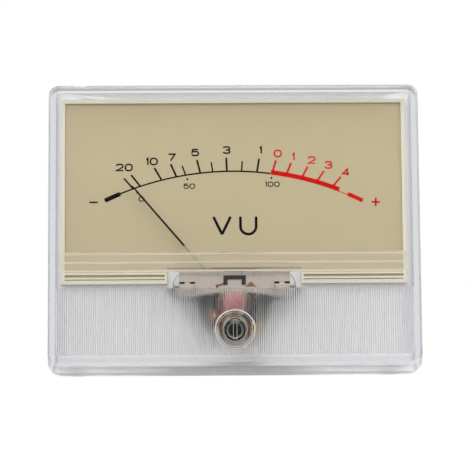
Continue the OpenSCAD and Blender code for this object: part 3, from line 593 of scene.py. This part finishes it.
stud_x, stud_z = outermost("panel_studs", 2.6)
threaded_studs("panel_studs", steel, [(x * stud_x, z * stud_z) for x in (-1, 1) for z in (-1, 1)],
               radius=1.5, pitch=0.5, start=0.4)
lug_x, lug_z = outermost("terminal_studs", 3.2)
threaded_studs("terminal_studs", brass, [(-lug_x, lug_z), (lug_x, lug_z)],
               radius=2.0, pitch=0.7, start=22.3)
print("studs at", round(stud_x, 2), round(stud_z, 2),
      "terminals at", round(lug_x, 2), round(lug_z, 2))

# %% [markdown]
# ## The winding
# The coil is wound from one layer of fine enamelled wire. The solid is a plain band, so the
# copy is cut across into twice as many strips as there are rounds, and every other cut line
# is pushed in along its normals. What stays out are the rounds of the wire. A bump could draw
# them too, but the edge of the coil would stay straight.

# %% Wound coil
coil = copied("coil_winding")
needle_lean = math.radians(40.6)
hoop_way = Vector((-math.sin(needle_lean), 0, math.cos(needle_lean)))
hoop_middle = Vector((0, 0, pivot_z)) * mm
rounds, half_width = 8, 1.1 * mm
for i in range(1, 2 * rounds):
    bmesh.ops.bisect_plane(coil, geom=all_of(coil), plane_no=hoop_way,
                           plane_co=hoop_middle + hoop_way * half_width * (i / rounds - 1))
coil.normal_update()
for v in coil.verts:
    place = (v.co - hoop_middle).dot(hoop_way) / half_width
    line = (place + 1) * rounds
    if abs(line - round(line)) < 0.02 and round(line) % 2 == 0 and abs(place) < 0.99:
        v.co -= v.normal * 0.07 * mm
piece("coil_winding_wound", coil, copper, "pointer", ("coil_winding",))
print(rounds, "rounds of wire on a band", round(2 * half_width / mm, 1), "mm wide")

# %% [markdown]
# ## The needle's paint
# The needle is black only on its outer part, where it is read against the scale. The copy is
# cut across where the paint ends, and the points beyond the cut are moved out by the paint.
# Painting by colour alone would leave the two parts equally thick.

# %% Painted needle
paint_from = 18.7
needle = copied("pointer_needle")
for reach in (18.6, 18.75):
    bmesh.ops.bisect_plane(needle, geom=all_of(needle), plane_no=hoop_way,
                           plane_co=hoop_middle + hoop_way * reach * mm)
needle.normal_update()
painted = [(v, v.normal * 0.08 * mm) for v in needle.verts
           if (v.co - hoop_middle).dot(hoop_way) > paint_from * mm]
for v, layer in painted:
    v.co += layer
piece("pointer_needle_painted", needle, needle_paint, "pointer",
      ("pointer_needle",))
print(len(painted), "points of the needle under paint")

# %% [markdown]
# ## Spacer rings round the yoke
# The movement drops into its well with a thin ring of pale fibre on the yoke's face and a
# washer round each pillar. They keep dust out, and they close the gaps that would show dark.
# A ring is two circles, bridged and then pushed to its thickness, which keeps its hole round.

# %% A flat ring
def flat_ring(shape, x, z, inner, outer, near, far, segments=96):
    """A flat ring with a round hole, between two planes."""
    loops = []
    for radius in (inner, outer):
        made = bmesh.ops.create_circle(shape, cap_ends=False, segments=segments,
                                       radius=radius * mm)["verts"]
        bmesh.ops.rotate(shape, verts=made, matrix=Matrix.Rotation(math.radians(90), 3, "X"))
        bmesh.ops.translate(shape, verts=made, vec=Vector((x, near, z)) * mm)
        loops += list({e for v in made for e in v.link_edges})
    face = bmesh.ops.bridge_loops(shape, edges=loops)["faces"]
    grown = bmesh.ops.extrude_face_region(shape, geom=face)["geom"]
    bmesh.ops.translate(shape, verts=[g for g in grown if isinstance(g, bmesh.types.BMVert)],
                        vec=(0, (far - near) * mm, 0))


# %% [markdown]
# The ring lies on the yoke's face and the washers in front of its ears, where the pillars
# stand. Their heights come from the yoke and the bridge screws, so they follow the CAD model.
# The washers are painted grey below and pale above: the grey is painted shade of the bridge.

# %% Spacer ring and washers
pale_fibre = finish("pale_fibre", (0.80, 0.80, 0.79), rough=0.7, vary=0.03, bump=0.3, gloss=0.2)
spacer = bmesh.new()
yoke_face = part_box("yoke_ring")[0].y / mm
ear_low, ear_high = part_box("bridge_screws")
ear_x, ear_z = ear_high.x / mm - screw_head_radius, (ear_low.z + ear_high.z) / 2 / mm
flat_ring(spacer, 0, pivot_z, inner=7.4, outer=10.5, near=yoke_face - 0.05, far=yoke_face - 0.3)
washers = bmesh.new()
for side in (-1, 1):
    flat_ring(washers, side * ear_x, ear_z, inner=1.78, outer=3.5, near=yoke_face - 0.33,
              far=yoke_face - 0.6, segments=48)
shaded_fibre = graded(finish("shaded_fibre", (0.40, 0.40, 0.41), rough=0.7, vary=0.03, gloss=0.2),
                    (0, 0, -17.0), (0.90, 0.90, 0.89), 3.2, 4.2, axes=(0, 0, 1))
for name, shape, material in (("yoke_spacer", spacer, pale_fibre),
                              ("pillar_washers", washers, shaded_fibre)):
    bmesh.ops.recalc_face_normals(shape, faces=shape.faces[:])
    soften(shape, 0.04 * mm)
    piece(name, shape, material, "housing")
print("yoke face at y", round(yoke_face, 2), "ears at", round(ear_x, 2), round(ear_z, 2))

# %% [markdown]
# ## Lacquer on the front nut
# When the jewel screw has been set, a drop of red lacquer is put over its nut so that nobody
# turns it. A profile from the middle of the drop to its rim is spun about the pivot's axis,
# and the rim is then pushed in and out a little, because a drop never dries as a perfect disc.
# A squashed ball would be easier, but its rim would stand up like a bead's.

# %% Lacquer drop
drop_profile = ((0, 0.72), (0.9, 0.7), (1.5, 0.52), (2.1, 0.36), (2.45, 0.12), (2.4, -0.05),
                (0, -0.05))
nut_low, nut_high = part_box("front_lock_nut")
axle_x, axle_z = (nut_low.x + nut_high.x) / 2, (nut_low.z + nut_high.z) / 2
nut_face = nut_low.y
drop = bmesh.new()
profile = [drop.verts.new((axle_x + out * mm, nut_face - rise * mm, axle_z))
           for out, rise in drop_profile]
lines = [drop.edges.new(pair) for pair in zip(profile, profile[1:])]
bmesh.ops.spin(drop, geom=profile + lines, cent=(axle_x, nut_face, axle_z), axis=(0, 1, 0),
               angle=math.radians(360), steps=40, use_merge=True)
bmesh.ops.remove_doubles(drop, verts=drop.verts[:], dist=0.002 * mm)
for v in drop.verts:
    from_axle = Vector((v.co.x - axle_x, 0, v.co.z - axle_z))
    turn = math.atan2(from_axle.z, from_axle.x)
    wide = 1 + 0.10 * math.sin(2 * turn + 0.4) + 0.05 * math.sin(5 * turn)
    v.co = Vector((axle_x, v.co.y, axle_z)) + from_axle * wide
bmesh.ops.recalc_face_normals(drop, faces=drop.faces[:])
curved(drop)
piece("lock_nut_lacquer", drop, lacquer, "housing")
print("lacquer on the nut at y", round(nut_face / mm, 2), "mm")

# %% [markdown]
# ## The clear cover
# The cover is one thin-walled clear moulding. What makes it look like plastic rather than
# like air is its edges: the rounded outer rim, the inner corner of the wall, the three level
# grooves and the fine upright ribs bend the light that passes. The solid already has these,
# so the cover is a copy of it with its edges rounded more widely. The edges between the ribs
# and in the grooves stay as they are, because a round of a quarter of a millimetre would eat
# them.

# %% Rounded edges of the cover
front_y, rear_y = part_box("front_cover")[0].y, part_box("front_cover")[1].y
axis_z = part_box("zero_adjuster")[0].z / 2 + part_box("zero_adjuster")[1].z / 2
ribs_low, ribs_high = -31.2 * mm, -14.3 * mm
grooves_low, grooves_high = -11.2 * mm, -5.8 * mm
clear_shape = copied("front_cover")


def from_seat(point):
    """How far a point lies from the axis of the adjuster's seat."""
    return math.hypot(point.x, point.z - axis_z)


def ribbed(point):
    """True on the ribbed part of the front face, away from the adjuster's seat."""
    on_face = point.y < front_y + 0.2 * mm
    return on_face and ribs_low < point.z < ribs_high and from_seat(point) >= 5.2 * mm


def rounded_edge(edge):
    """Edges of the moulding that are round on the real cover."""
    a, b = (v.co for v in edge.verts)
    if len(edge.link_faces) != 2 or edge.calc_face_angle(0) < math.radians(30):
        return False
    near_front = (a.y + b.y) / 2 < front_y + 0.5 * mm
    grooved = near_front and grooves_low < (a.z + b.z) / 2 < grooves_high
    return not (ribbed(a) and ribbed(b)) and not grooved


rim = [e for e in clear_shape.edges if rounded_edge(e)]
for face in bevelled(clear_shape, rim, 0.25 * mm, segments=3):
    face.smooth = True
print(len(rim), "edges of the cover are rounded")

# %% [markdown]
# Some flat faces of the moulding run on from one part of the front to the next: past the
# grooves, over the side lips and down to the chin. They are cut across by planes where the
# look changes, at places in mm, so that each part can have its own finish. The cuts leave the
# shape as it is.

# %% Cuts across the flat faces
same_level = 0.02 * mm
band_low, band_high, lip_x, chin_z, sill_z = -10.85, -5.9, 42.35, -31.25, -32.6


def cut_flat(level, place, way):
    """Cuts the flat faces at one depth across, so that their parts can differ in finish."""
    flat = [f for f in clear_shape.faces
            if abs(f.normal.y) > 0.99 and abs(f.calc_center_median().y - level) < same_level]
    edges = list({e for f in flat for e in f.edges})
    points = list({v for f in flat for v in f.verts})
    bmesh.ops.bisect_plane(clear_shape, geom=points + edges + flat,
                           plane_co=[c * mm for c in place], plane_no=way)


for z in (band_high, band_low):
    cut_flat(front_y, (0, 0, z), (0, 0, 1))
for x in (-lip_x, lip_x):
    cut_flat(front_y, (x, 0, 0), (1, 0, 0))
cut_flat(front_y, (0, 0, chin_z), (0, 0, 1))
cut_flat(rear_y, (0, 0, sill_z), (0, 0, 1))
print(len(clear_shape.faces), "faces after the cuts")

# %% [markdown]
# Which finish a face takes follows from where its middle lies and which way it looks. The
# faces could be picked by hand in the editor, but their numbers change with every change of
# the solid, and a rule finds them again. The walls and the rear ring have rules of their own.

# %% Finishes of the cover's faces
bevel_depth, lip_depth, rib_area = 0.45 * mm, 0.26 * mm, 12 * mm * mm
knob_reach, lip_inner, lip_outer = 6 * mm, 4.6 * mm, 5.6 * mm


def wall_finish(middle, way):
    """The finish of a face on the cover's walls or its rear ring."""
    inside = abs(middle.x) < 43.5 * mm and abs(middle.z) < 33.5 * mm
    if way.y > 0.9:
        return sill_plastic if middle.z < sill_z * mm else edge_plastic
    if way.z > 0.5 and middle.z < -32.5 * mm:
        return edge_plastic
    if way.z < -0.9 and middle.z > 0:
        return ceiling_plastic
    if way.z < -0.5 and not inside:
        return chin_plastic if way.y < -0.3 else sill_plastic
    return wall_plastic


def cover_finish(face):
    """The finish of a face of the cover, from its place and the way it looks."""
    middle, way = face.calc_center_median(), face.normal
    on_front, by_knob = middle.y < front_y + bevel_depth, from_seat(middle) < knob_reach
    # Rib faces that look to the right take the greyer shade_plastic: painted shade, so the ribs
    # show as fine lines.
    if ribbed(middle) and face.calc_area() < rib_area:
        return shade_plastic if way.x > 0.1 else ribbed_plastic
    # The rim of the knob's seat is painted white: a painted highlight.
    if middle.y < front_y + lip_depth and abs(way.y) < 0.97 and all(
            lip_inner < from_seat(v.co) < lip_outer for v in face.verts):
        return highlight_white
    if way.y < -0.99 and middle.y < front_y + same_level:
        if abs(middle.x) > lip_x * mm:
            return lip_plastic
        if middle.z < ribs_low:
            return wall_plastic
        if band_low * mm < middle.z < band_high * mm:
            return band_plastic
    if on_front and grooves_low < middle.z < grooves_high and abs(way.z) > 0.3:
        return groove_plastic
    if on_front and abs(way.y) < 0.99 and not by_knob:
        return bevel_plastic
    if on_front or by_knob or (abs(way.y) >= 0.9 and middle.y <= -0.3 * mm):
        return clear_plastic
    return wall_finish(middle, way)


# %% [markdown]
# The cover is one mesh with all these finishes in a list, and each face keeps a number that
# points into that list. It could be made as a piece for each finish, but a moulding has no
# seams, and light bends wrongly where clear pieces only touch.

# %% Clear cover
cover_finishes = (clear_plastic, edge_plastic, shade_plastic, ceiling_plastic, groove_plastic,
                  sill_plastic, wall_plastic, band_plastic, highlight_white, ribbed_plastic,
                  lip_plastic, bevel_plastic, chin_plastic)
for face in clear_shape.faces:
    face.material_index = cover_finishes.index(cover_finish(face))
cover = piece("front_cover_clear", clear_shape, clear_plastic, "housing",
              ("front_cover",))
for extra in cover_finishes[1:]:
    cover.data.materials.append(extra)
print("cover faces", len(cover.data.polygons))

# %% [markdown]
# The ribs of the real cover are soft waves. Their upright edges are too fine for a bevel, so
# they are marked as smooth, and the light turns evenly across them.

# %% Soft edges between the ribs
sharp = cover.data.attributes["sharp_edge"].data
soft_edges = 0
for edge in cover.data.edges:
    a, b = (cover.data.vertices[v].co for v in edge.vertices)
    upright = abs(a.x - b.x) < 0.01 * mm and abs(a.z - b.z) > 0.1 * mm
    if upright and max(a.y, b.y) < front_y + 0.05 * mm and ribbed(a):
        sharp[edge.index].value = False
        soft_edges += 1
print(soft_edges, "soft edges")

# %% [markdown]
# Each level groove reads as a pale line of light over the dial. A cream strip nearly a third
# of a millimetre wide lies in the bottom of each groove: a painted highlight of that line.
# The groove's own faces could carry the finish, but they are clear, and what lies behind them
# would still show through.

# %% Painted highlights in the grooves
strip_length, strip_width = 82.6 * mm, 0.29 * mm
lowest_groove, groove_step = -10.55, 2.05
strips = bmesh.new()
for i in range(3):
    z = lowest_groove + groove_step * i
    made = bmesh.ops.create_grid(strips, x_segments=40, y_segments=1, size=0.5)["verts"]
    bmesh.ops.scale(strips, verts=made, vec=(strip_length, strip_width, 1))
    bmesh.ops.rotate(strips, verts=made, matrix=Matrix.Rotation(math.radians(90), 3, "X"))
    bmesh.ops.translate(strips, verts=made, vec=(0, front_y + 0.12 * mm, z * mm))
top = bmesh.ops.extrude_face_region(strips, geom=strips.faces[:])["geom"]
bmesh.ops.translate(strips, verts=[g for g in top if isinstance(g, bmesh.types.BMVert)],
                    vec=(0, -0.04 * mm, 0))
bmesh.ops.recalc_face_normals(strips, faces=strips.faces[:])
piece("groove_bottoms", strips, groove_highlight_cream, "housing")
print("groove bottoms up from z", lowest_groove, "mm, each", groove_step, "mm above the last")

# %% [markdown]
# ## The printed dial
# The marks of the scale point at the pointer's pivot, but their inner ends follow a flatter
# arc whose centre is far below it. Each mark is therefore the part of a ray from the pivot
# that lies between two circles about the arc's centre. Ink is only a hundredth or two of a
# millimetre thick, so each mark is a flat face that lies that much in front of the plate. It
# could be an image on the plate instead, but an image blurs when the camera comes close.

# %% Where the scale lies
pivot = Vector((0, pivot_z))
arc_centre = Vector((-0.3, -56.9))
dial_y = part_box("dial_plate")[0].y / mm
ink_y = dial_y - 0.015


def on_ray(angle, radius):
    """Point on the ray from the pivot at an angle from upright, at a radius of the arc."""
    way = Vector((math.sin(math.radians(angle)), math.cos(math.radians(angle))))
    start = pivot - arc_centre
    along = -start.dot(way) + math.sqrt(start.dot(way) ** 2 - start.dot(start) + radius ** 2)
    return pivot + way * along


black_ink = finish("black_ink", (0.03, 0.025, 0.02), rough=0.6, bump=0.02, gloss=0.0)
red_ink = finish("red_ink", (0.85, 0.07, 0.03), rough=0.6, bump=0.02, gloss=0.0)
print("dial face at y", round(dial_y, 2), "mm")

# %% [markdown]
# Ink is laid in three ways: a straight stroke is one face between two points, a band is a
# short edge spun along the arc, and the figures are drawn with a pen that comes later. Every
# face is turned towards the viewer before it is laid on the dial.

# %% Strokes and bands of ink
def stroke(shape, a, b, width):
    """A flat bar of ink from a to b."""
    along = (b - a).normalized()
    side = Vector((-along.y, along.x)) * width / 2
    corners = [shape.verts.new((p.x * mm, ink_y * mm, p.y * mm))
               for p in (a + side, a - side, b - side, b + side)]
    shape.faces.new(corners)


def band(shape, angle0, angle1, radius, width, steps):
    """A flat band of ink along the arc, spun about the arc's centre."""
    ends = [shape.verts.new((arc_centre.x * mm, ink_y * mm, (arc_centre.y + r) * mm))
            for r in (radius - width / 2, radius + width / 2)]
    edge = shape.edges.new(ends)
    centre = Vector((arc_centre.x, ink_y, arc_centre.y)) * mm
    bmesh.ops.rotate(shape, verts=ends, cent=centre,
                     matrix=Matrix.Rotation(math.radians(angle0), 3, "Y"))
    bmesh.ops.spin(shape, geom=ends + [edge], cent=centre, axis=(0, 1, 0),
                   angle=math.radians(angle1 - angle0), steps=steps)


def ink_piece(name, shape, material):
    """Turns ink towards the viewer and lays it on the dial."""
    for face in shape.faces:
        face.normal_update()
        if face.normal.y > 0:
            face.normal_flip()
    piece(name, shape, material, "housing")


# %% [markdown]
# The black part of the scale has long marks at the figures and shorter ones between them,
# which all start on the arc, and a heavy bar at its lower end.

# %% Black marks and arc
arc_radius, mark_end, short_mark_end = 71.75, 75.15, 74.25
black_marks = bmesh.new()
for angle in (-38.1, -29.9, -23.95, -14.1, -2.8, 10.0):
    stroke(black_marks, on_ray(angle, arc_radius), on_ray(angle, mark_end), 0.47)
for angle in (-20.2, -8.85, 3.5):
    stroke(black_marks, on_ray(angle, arc_radius), on_ray(angle, short_mark_end), 0.37)
stroke(black_marks, on_ray(-40.75, arc_radius), on_ray(-40.75, 75.0), 0.43)
band(black_marks, -22.5, 7.5, arc_radius, 0.38, 60)
band(black_marks, -25.8, -22.5, arc_radius, 1.08, 8)
print("black ink has", len(black_marks.faces), "faces")
ink_piece("scale_marks_black", black_marks, black_ink)

# %% [markdown]
# Above its zero the scale is red, with a wide band on the arc that ends in a thin line and a
# last block.

# %% Red marks and band
red_marks = bmesh.new()
for angle in (16.4, 22.15, 28.3, 34.15, 40.1):
    stroke(red_marks, on_ray(angle, 72.4), on_ray(angle, mark_end), 0.47)
band(red_marks, 7.55, 21.35, 72.05, 1.15, 40)
band(red_marks, 21.35, 23.2, 71.6, 0.22, 6)
band(red_marks, 23.2, 26.4, 71.8, 1.0, 8)
print("red ink has", len(red_marks.faces), "faces")
ink_piece("scale_marks_red", red_marks, red_ink)

# %% [markdown]
# The figures are the usual ones of a level scale: from 20 down to 1 in black, 0 to 4 in red,
# and below the arc a scale of 0, 50 and 100. They are wide figures with one even stroke, as a
# lettering pen draws them, which no font at hand has. So each figure is a pen path of straight
# lines and bows, and a short edge is extruded along the path, held at half the corner's angle
# at each bend, which keeps the stroke even.

# %% A lettering pen
def bow(x, z, radius, start, end, steps=7):
    """Points on a bow about a centre, with angles counted from the right, upwards."""
    angles = [math.radians(start + (end - start) * i / steps) for i in range(steps + 1)]
    return [(x + radius * math.cos(a), z + radius * math.sin(a)) for a in angles]


def pen(shape, path, width, closed=False):
    """Extrudes an edge of the pen's width along a path of the dial's plane."""
    points = [Vector(p) for p in path]
    stations = []
    for i, point in enumerate(points):
        before = points[i - 1] if i or closed else point * 2 - points[1]
        goes_on = closed or i + 1 < len(points)
        after = points[(i + 1) % len(points)] if goes_on else point * 2 - before
        way_in, way_out = (point - before).normalized(), (after - point).normalized()
        across = Vector((-way_in.y - way_out.y, way_in.x + way_out.x)).normalized()
        half = width / 2 / max(0.35, across.dot(Vector((-way_in.y, way_in.x))))
        stations.append([Vector((p.x, ink_y, p.y)) * mm
                         for p in (point + across * half, point - across * half)])
    first = last = [shape.verts.new(place) for place in stations[0]]
    edge = shape.edges.new(first)
    for places in stations[1:]:
        grown = bmesh.ops.extrude_edge_only(shape, edges=[edge])["geom"]
        new = [v for v in grown if isinstance(v, bmesh.types.BMVert)]
        if (new[0].co - last[0].co).length > (new[1].co - last[0].co).length:
            new.reverse()
        for v, place in zip(new, places):
            v.co = place
        last = new
        edge = next(e for e in grown
                    if isinstance(e, bmesh.types.BMEdge) and set(e.verts) == set(new))
    if closed:
        bmesh.ops.bridge_loops(shape, edges=[edge, shape.edges.get(first)])


# %% [markdown]
# Each figure is drawn in a box that is two units high and centred on its middle. A bow is
# given by its centre, its radius and two angles. The widths set the figures apart.

# %% Pen paths of the figures
figures = {
    "0": [bow(0.2, 0.15, 0.75, 0, 90) + bow(-0.2, 0.15, 0.75, 90, 180)
          + bow(-0.2, -0.15, 0.75, 180, 270) + bow(0.2, -0.15, 0.75, 270, 360)],
    "1": [[(-0.42, 0.45), (0.0, 0.9), (0.0, -1.0)]],
    "2": [bow(-0.4, 0.4, 0.5, 180, 90) + bow(0.4, 0.4, 0.5, 90, -52)
          + [(-0.93, -0.88), (1.0, -0.88)]],
    "3": [bow(-0.42, 0.46, 0.44, 170, 90) + bow(0.4, 0.46, 0.44, 90, -90) + [(-0.25, 0.02)],
          bow(0.45, -0.44, 0.46, 90, -90) + bow(-0.45, -0.44, 0.46, 270, 190)],
    "4": [[(0.45, -1.0), (0.45, 0.85), (-0.93, -0.48), (1.0, -0.48)]],
    "5": [[(0.85, 0.88), (-0.68, 0.88), (-0.82, 0.08)] + bow(-0.3, -0.29, 0.59, 120, 90)
          + bow(0.35, -0.29, 0.59, 90, -90) + bow(-0.35, -0.29, 0.59, 270, 195)],
    "7": [[(-0.95, 0.88), (0.9, 0.88), (-0.35, -1.0)]],
}
figure_widths = {"0": 2.15, "1": 0.75, "2": 2.15, "3": 2.05, "4": 2.15, "5": 2.0, "7": 2.1}
print(len(figures), "figures have pen paths")

# %% [markdown]
# A number is centred on its place on the dial, as on the real scale, where the figures stand
# upright and don't turn with the marks. The small scale below the arc has smaller figures.

# %% Numbers of the dial
def number(text, centre, height, material, name, weight=0.44, apart=0.42):
    """A number in pen strokes, centred on a point of the dial."""
    shape = bmesh.new()
    size = height / (2 + weight)
    total = sum(figure_widths[c] for c in text) + apart * (len(text) - 1)
    x = -total / 2
    for c in text:
        middle = x + figure_widths[c] / 2 + (0.18 if c == "1" else 0)
        for path in figures[c]:
            line = [(centre[0] + (middle + px) * size, centre[1] + pz * size)
                    for px, pz in path]
            pen(shape, line, weight * size, closed=c == "0")
        x += figure_widths[c] + apart
    ink_piece(name, shape, material)


for text, place in (("20", (-26.79, 15.90)), ("10", (-20.04, 17.36)), ("7", (-15.10, 18.41)),
                    ("5", (-9.39, 19.55)), ("3", (-1.67, 20.13)), ("1", (6.70, 20.09))):
    number(text, place, 2.1, black_ink, "figure_black_" + text)
for text, place in (("0", (10.93, 19.22)), ("1", (14.74, 18.43)), ("2", (19.21, 17.51)),
                    ("3", (23.33, 16.30)), ("4", (27.56, 14.51))):
    number(text, place, 2.1, red_ink, "figure_red_" + text)
for text, place in (("0", (-22.58, 8.09)), ("50", (-10.86, 11.20)), ("100", (9.50, 11.57))):
    number(text, place, 1.45, black_ink, "figure_small_" + text, weight=0.42)

# %% [markdown]
# Two plain letters name the unit. They are strokes like the marks, and the bend of the second
# letter is a short edge spun by half a turn. Two dots, a dash over the small scale and the
# signs at both ends of the scale belong to the same print.

# %% Unit letters, signs and dots
letter_width = 0.67
letters = bmesh.new()
for a, b in (((-5.0, 3.6), (-2.9, -0.72)), ((-0.8, 3.6), (-2.9, -0.72)),
             ((1.62, 3.6), (1.62, 1.2)), ((5.45, 3.6), (5.45, 1.2))):
    stroke(letters, Vector(a), Vector(b), letter_width)
ends = [letters.verts.new((x * mm, ink_y * mm, 1.2 * mm)) for x in (5.115, 5.785)]
bend = letters.edges.new(ends)
bmesh.ops.spin(letters, geom=ends + [bend], cent=Vector((3.535, ink_y, 1.2)) * mm, axis=(0, 1, 0),
               angle=math.radians(180), steps=24)
for spot in (Vector((-11.31, 12.92)), Vector((9.27, 13.13))):
    dot = bmesh.ops.create_circle(letters, cap_ends=True, segments=12, radius=0.26 * mm)["verts"]
    bmesh.ops.rotate(letters, verts=dot, matrix=Matrix.Rotation(math.radians(90), 3, "X"))
    bmesh.ops.translate(letters, verts=dot, vec=Vector((spot.x, ink_y, spot.y)) * mm)
stroke(letters, Vector((-23.85, 9.4)), Vector((-23.35, 9.95)), 0.3)
stroke(letters, Vector((-35.3, 7.31)), Vector((-33.25, 7.31)), 0.42)
ink_piece("unit_letters", letters, black_ink)
plus = bmesh.new()
stroke(plus, Vector((33.8, 7.07)), Vector((35.85, 7.07)), 0.45)
stroke(plus, Vector((34.82, 6.05)), Vector((34.82, 8.1)), 0.45)
ink_piece("plus_sign", plus, red_ink)

# %% [markdown]
# ## Light, floor and camera
# The photograph has a plain white surround and soft light from above and in front. The world
# is white where the camera, a reflection or a clear part sees it, and about a third as strong
# where it lights the meter. White walls all round could do the same, but they would fill the
# shadows and bleach the dial.

# %% World
strength_as_light, strength_as_seen = 0.345, 1.0
world = bpy.data.worlds.new("studio")
bpy.context.scene.world = world
world.use_nodes = True
tree = world.node_tree
back = tree.nodes["Background"]
rays = tree.nodes.new("ShaderNodeLightPath")
seen = tree.nodes.new("ShaderNodeMath")
seen.operation = "MAXIMUM"
seen_more = tree.nodes.new("ShaderNodeMath")
seen_more.operation = "MAXIMUM"
tree.links.new(rays.outputs["Is Camera Ray"], seen.inputs[0])
tree.links.new(rays.outputs["Is Glossy Ray"], seen.inputs[1])
tree.links.new(seen.outputs[0], seen_more.inputs[0])
tree.links.new(rays.outputs["Is Transmission Ray"], seen_more.inputs[1])
level = tree.nodes.new("ShaderNodeMapRange")
level.inputs["To Min"].default_value = strength_as_light
level.inputs["To Max"].default_value = strength_as_seen
tree.links.new(seen_more.outputs[0], level.inputs["Value"])
tree.links.new(level.outputs["Result"], back.inputs["Strength"])
back.inputs["Color"].default_value = (1, 1, 1, 1)
print("world at", strength_as_light, "as light and", strength_as_seen, "as seen")

# %% [markdown]
# Three square lamps look at the meter: the main one from the upper left, a weaker one from
# the right that softens its shadows, and one from behind that lights the back. Large lamps
# give soft shadows, as in the photograph, where a small lamp or the sun would give hard ones.

# %% Lamps
def lamp(name, place, size, power):
    """A square lamp that looks at the meter."""
    light = bpy.data.lights.new(name, "AREA")
    light.size = size
    light.energy = power
    holder = bpy.data.objects.new(name, light)
    bpy.context.scene.collection.objects.link(holder)
    holder.location = place
    holder.rotation_euler = Vector(place).to_track_quat("Z", "Y").to_euler()


lamp("key_lamp", (-0.35, -0.7, 0.6), 0.5, 2.15)
lamp("fill_lamp", (0.55, -0.6, 0.35), 0.6, 1.2)
lamp("back_lamp", (0.1, 0.7, 0.6), 0.6, 1.5)
print(len(bpy.data.lights), "lamps")

# %% [markdown]
# The floor is pale paper under the meter. It takes the shadow and is mirrored in the metal.

# %% Floor
floor_z = -0.066
floor_mesh = bpy.data.meshes.new("floor")
floor_shape = bmesh.new()
bmesh.ops.create_grid(floor_shape, x_segments=1, y_segments=1, size=1.2)
floor_shape.to_mesh(floor_mesh)
floor_shape.free()
floor = bpy.data.objects.new("floor", floor_mesh)
bpy.context.scene.collection.objects.link(floor)
floor.location.z = floor_z
floor_mesh.materials.append(finish("floor_paper", (0.93, 0.93, 0.93), rough=0.8, vary=0.005))
print("floor at z", floor_z / mm, "mm")

# %% [markdown]
# The camera stands where the photograph was taken: half a metre away with a long lens, a little
# below the meter's middle, so that it looks up at the chin. Its axes are worked out from two
# angles and a small roll. Pointing it with a constraint would be easier, but it couldn't roll.

# %% Camera
camera_distance = 0.480
camera_data = bpy.data.cameras.new("camera")
camera_data.lens = 150.4
camera_data.sensor_width = 36
camera_data.clip_start = 0.01
camera = bpy.data.objects.new("camera", camera_data)
bpy.context.scene.collection.objects.link(camera)
bpy.context.scene.camera = camera
azimuth, elevation, roll = (math.radians(a) for a in (-0.846, -7.2, 0.423))
forward = Vector((-math.sin(azimuth) * math.cos(elevation),
                  math.cos(azimuth) * math.cos(elevation), -math.sin(elevation)))
right = Vector((math.cos(azimuth), math.sin(azimuth), 0))
up = right.cross(forward)
turned_right = right * math.cos(roll) - up * math.sin(roll)
turned_up = right * math.sin(roll) + up * math.cos(roll)
aim = Vector((-0.164, 0, 0.108)) * mm
camera.matrix_world = Matrix((
    (turned_right.x, turned_up.x, -forward.x, 0), (turned_right.y, turned_up.y, -forward.y, 0),
    (turned_right.z, turned_up.z, -forward.z, 0), (0, 0, 0, 1)))
camera.location = aim - forward * camera_distance
bpy.context.scene.view_settings.view_transform = "Standard"
print("camera at", [round(c / mm, 1) for c in camera.location], "mm")
